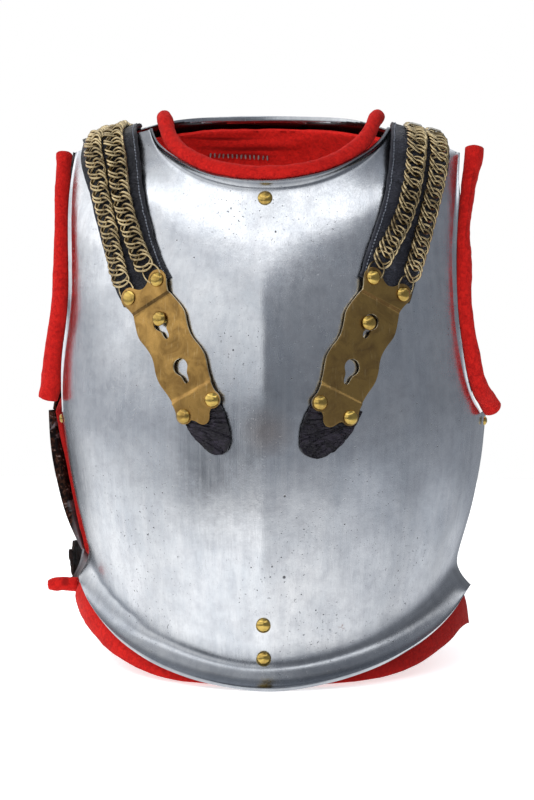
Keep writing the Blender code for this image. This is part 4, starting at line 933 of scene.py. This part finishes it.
def strap_stitches(side, strap):
    """The waxed stitches along the strap's edge on the neck's side."""
    ground = surface_of(strap)
    bm = bmesh.new()
    inward = 1.0 if side == "left" else -1.0
    line_of = frames_of(rings("strap_leather_" + side, 10))
    for point, along, across, outward in resample(line_of, THREAD_PITCH, FIRST_THREAD)[:-2]:
        def under(reach):
            """Where the strap lies, so far to the neck's side of its middle line."""
            above = point + across * reach * inward + outward * ABOVE_STRAP
            return ground.ray_cast(above, -outward, 2 * ABOVE_STRAP)

        edge = next((step * EDGE_STEP for step in EDGE_STEPS if under(step * EDGE_STEP)[0]), None)
        if edge is None:
            continue
        found, normal, _, _ = under(edge - THREAD_INSET)
        if found is None:
            continue
        line = []
        for step in range(THREAD_STEPS + 1):
            rise = 0.00035 * math.sin(math.pi * step / THREAD_STEPS) - 0.0001
            line.append(found + normal * rise + along * THREAD_HALF * (2 * step / THREAD_STEPS - 1))
        add_thread(bm, line, THREAD_RADIUS, 5)
    keep(as_object(bm, f"strap_stitches_{side}"), slot="strap_leather", finish=thread)


def straps():
    for side in SIDES:
        strap = fine("strap_leather_" + side, f"strap_leather_{side}_fine", 3)
        ruffle(strap, *STRAP_WAVES, seed=9.0)
        keep(strap, "strap_leather_" + side, slot="strap_leather",
             finish=leather if side == "left" else leather_right)
        strap_stitches(side, strap)
        tip = fine("strap_tip_" + side, f"strap_tip_{side}_fine", 4)
        foot = middle_of("hook_plate_" + side)
        foot.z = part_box("hook_plate_" + side)[0].z + 0.006

        def crack(point):
            """The depth of the cracks that spread from under the hook plate."""
            arm = point - foot
            turn = math.atan2(arm.x, -arm.z)
            ray = noise.noise(Vector((turn * 7.0, arm.length * 25.0, CRACK_SEEDS[side])))
            return -CRACK_DEPTH * bell(ray, 0.0, CRACK_WIDTH) * between(arm.length, *CRACK_START)

        swell(tip, crack)
        ruffle(tip, *TIP_WAVES, seed=2.0)
        keep(tip, "strap_tip_" + side, slot="strap_leather", finish=leather_tip)
    stub = fine("belt_stub", "belt_stub_fine", 3)
    ruffle(stub, *STUB_WAVES, seed=4.0)
    keep(stub, "belt_stub", slot="belt_leather", finish=leather_belt)


# ================================================================================= brass
PLATE_ANGLE = 25.0                          # the plates' ribs fold by more than this
FOLD_SHARES = (0.5, 0.975)                  # cosines to the plate's flat side of a rib's faces, given painted shade in the plate's upper half
EDGE_SHARE = 0.75                           # and below this, of its rim, worn bright and with a painted highlight
DOME_FULL = 0.22 * MM


def fittings():
    """The hook plates and rear plates, their rims worn bright with a painted highlight and their
    upper rib faces given painted shade, and the rivets and studs.
    """
    for side in SIDES:
        for node in ("hook_plate_" + side, "rear_plate_" + side):
            plate = fine(node, node + "_fine", angle=PLATE_ANGLE, rim=True)
            plate.data.materials.clear()
            for finish in (brass if side == "left" else brass_olive, brass_edge, brass_fold_painted_shade):
                plate.data.materials.append(finish.material)
            ground = max(plate.data.polygons, key=lambda face: face.area).normal.copy()
            middle = (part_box(node)[0].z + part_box(node)[1].z) / 2
            low, high = FOLD_SHARES
            for face in plate.data.polygons:
                if low < abs(face.normal.dot(ground)) < high and face.center.z > middle:
                    face.material_index = 2
            bevel(plate, 0.35 * MM, 60.0)
            for face in plate.data.polygons:
                if abs(face.normal.dot(ground)) < EDGE_SHARE:
                    face.material_index = 1
            keep(plate, node, slot="aged_brass")
    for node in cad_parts:
        if node.startswith(("rivet_", "stud_")):
            dome = fine(node, node + "_fine", angle=50.0)
            swell(dome, DOME_FULL)
            keep(dome, node, slot="bright_brass", finish=brass_bright)


# ============================================================ camera, floor and lights
CAMERA_TURN = math.radians(3.0)
CAMERA_AWAY = 1.85
CAMERA_HEIGHT = 0.39
CAMERA_TILT = math.radians(5.54)
CAMERA_MIDDLE = Vector((0.00186, 0.0026, 0.0))
CAMERA_SENSOR = 36.0
CAMERA_LENS = 102.0
CAMERA_SHIFT = -0.0069
FLOOR_HALF = 1.1
FLOOR_GLOW = 0.62
WHITE = (1.0, 1.0, 1.0, 1.0)
KEY_PLACE, KEY_TARGET = (-0.9, -1.7, 1.7), (0.0, 0.0, 0.28)
KEY_SIZE = (1.3, 0.8)
KEY_POWER = 15.0


def camera():
    made = bpy.data.cameras.new("camera")
    made.sensor_fit = "VERTICAL"
    made.sensor_height = CAMERA_SENSOR
    made.lens = CAMERA_LENS
    made.shift_x = CAMERA_SHIFT
    holder = bpy.data.objects.new("camera", made)
    bpy.context.scene.collection.objects.link(holder)
    holder.location = CAMERA_MIDDLE + Vector((CAMERA_AWAY * math.sin(CAMERA_TURN),
                                              -CAMERA_AWAY * math.cos(CAMERA_TURN), CAMERA_HEIGHT))
    holder.rotation_euler = (math.pi / 2 - CAMERA_TILT, 0.0, CAMERA_TURN)
    bpy.context.scene.camera = holder


def floor():
    """A white sweep under the object, fading into the white round it."""
    bm = bmesh.new()
    bmesh.ops.create_grid(bm, x_segments=8, y_segments=8, size=FLOOR_HALF)
    made = as_object(bm, "floor")
    shader = Shader("white_floor", (0.90, 0.90, 0.91), 0.7, 0.0, Specular_IOR_Level=0.1,
                    Emission_Color=WHITE, Emission_Strength=FLOOR_GLOW)
    made.data.materials.append(shader.material)
    made.visible_glossy = False


def key_light():
    light = bpy.data.lights.new("key", "AREA")
    light.shape = "RECTANGLE"
    light.size, light.size_y = KEY_SIZE
    light.energy = KEY_POWER
    made = bpy.data.objects.new("key", light)
    bpy.context.scene.collection.objects.link(made)
    made.location = KEY_PLACE
    made.visible_glossy = False
    toward = Vector(KEY_TARGET) - Vector(KEY_PLACE)
    made.rotation_euler = toward.to_track_quat("-Z", "Y").to_euler()


# What the metal sees of the room, as (up-component of the direction, brightness), for directions
# to the right, far to the right, to the left and far to the left of the camera.
ROOM_RIGHT = ((-1.0, 0.9), (-0.50, 1.15), (-0.36, 1.10), (-0.30, 0.64), (-0.24, 0.36),
              (-0.12, 0.28), (0.0, 0.20), (0.10, 0.21), (0.30, 0.25), (0.44, 0.27), (0.56, 0.50),
              (0.64, 1.90), (0.73, 1.90), (0.79, 0.40), (1.0, 0.30))
ROOM_FAR_RIGHT = ((-1.0, 0.9), (-0.50, 1.0), (-0.36, 0.82), (-0.30, 0.60), (-0.20, 0.32),
                  (0.0, 0.24), (0.30, 0.26), (1.0, 0.20))
ROOM_LEFT = ((-1.0, 1.1), (-0.36, 1.45), (-0.29, 1.20), (-0.23, 0.26), (-0.13, 0.16),
             (-0.05, 0.24), (0.06, 0.66), (0.15, 1.05), (0.40, 1.10), (0.50, 0.62), (0.57, 0.80),
             (0.64, 2.00), (0.74, 2.00), (0.80, 0.9), (1.0, 1.0))
ROOM_FAR_LEFT = ((-1.0, 1.1), (-0.30, 1.25), (-0.22, 0.90), (-0.10, 0.48), (0.0, 0.48),
                 (0.06, 0.95), (0.11, 1.50), (0.30, 1.30), (0.50, 1.10), (0.66, 1.80),
                 (0.76, 1.80), (0.82, 0.8), (1.0, 1.0))
# The x-components over which each view takes over from those before it.
ROOM_TURNS = ((ROOM_LEFT, 0.06, -0.16), (ROOM_FAR_LEFT, -0.66, -0.90), (ROOM_FAR_RIGHT, 0.58, 0.78))
ROOM_STRENGTH = (1.72, 2.28)                # the least and the most, in soft clouds
BRIGHTEST = 2.0                             # what a ramp's white stands for
SHADOW_BLUE = 0.10                          # how much bluer the darkest parts are


def lights():
    """A white room as the camera sees it, darker ahead than above as the metal sees it."""
    bpy.context.scene.view_settings.view_transform = "Standard"
    world = bpy.data.worlds.new("studio")
    bpy.context.scene.world = world
    world.use_nodes = True
    tree = world.node_tree

    def node(kind, result, inputs=None):
        return add_node(tree, kind, inputs).outputs[result]

    def ramp(table):
        made = add_node(tree, "ValToRGB", {"Fac": upward})
        steps = made.color_ramp.elements
        for index, (height, shade) in enumerate(table):
            spot = (height + 1) / 2
            step = steps[index] if index < 2 else steps.new(spot)
            step.position = spot
            blue = SHADOW_BLUE * between(1.1 - shade, 0.0, 0.8)
            shade /= BRIGHTEST
            step.color = (shade * (1 - blue / 2), shade, shade * (1 + blue), 1.0)
        return made.outputs["Color"]

    place = node("TexCoord", "Generated")
    aside = node("SeparateXYZ", "X", {"Vector": place})
    upward = node("MapRange", "Result", {"Value": node("SeparateXYZ", "Z", {"Vector": place}),
                                         "From Min": -1.0})
    shade = ramp(ROOM_RIGHT)
    for table, start, end in ROOM_TURNS:
        turn = node("MapRange", "Result", {"Value": aside, "From Min": start, "From Max": end})
        shade = node("MixRGB", "Color", {"Fac": turn, "Color1": shade, "Color2": ramp(table)})
    clouds = node("TexNoise", "Fac", {"Vector": place, "Scale": 3.0, "Detail": 1.0})
    least, most = ROOM_STRENGTH
    cloudy = node("MapRange", "Result", {"Value": clouds, "From Min": 0.3, "From Max": 0.7,
                                         "To Min": least, "To Max": most})
    room = node("Background", "Background", {"Color": shade, "Strength": cloudy})
    plain = node("Background", "Background", {"Color": WHITE, "Strength": 1.0})
    mixed = node("MixShader", "Shader", {"Fac": node("LightPath", "Is Camera Ray"), 1: room,
                                         2: plain})
    tree.links.new(mixed, tree.nodes["World Output"].inputs["Surface"])
    key_light()


plates()
rolls()
linings()
chains()
straps()
fittings()
camera()
floor()
lights()
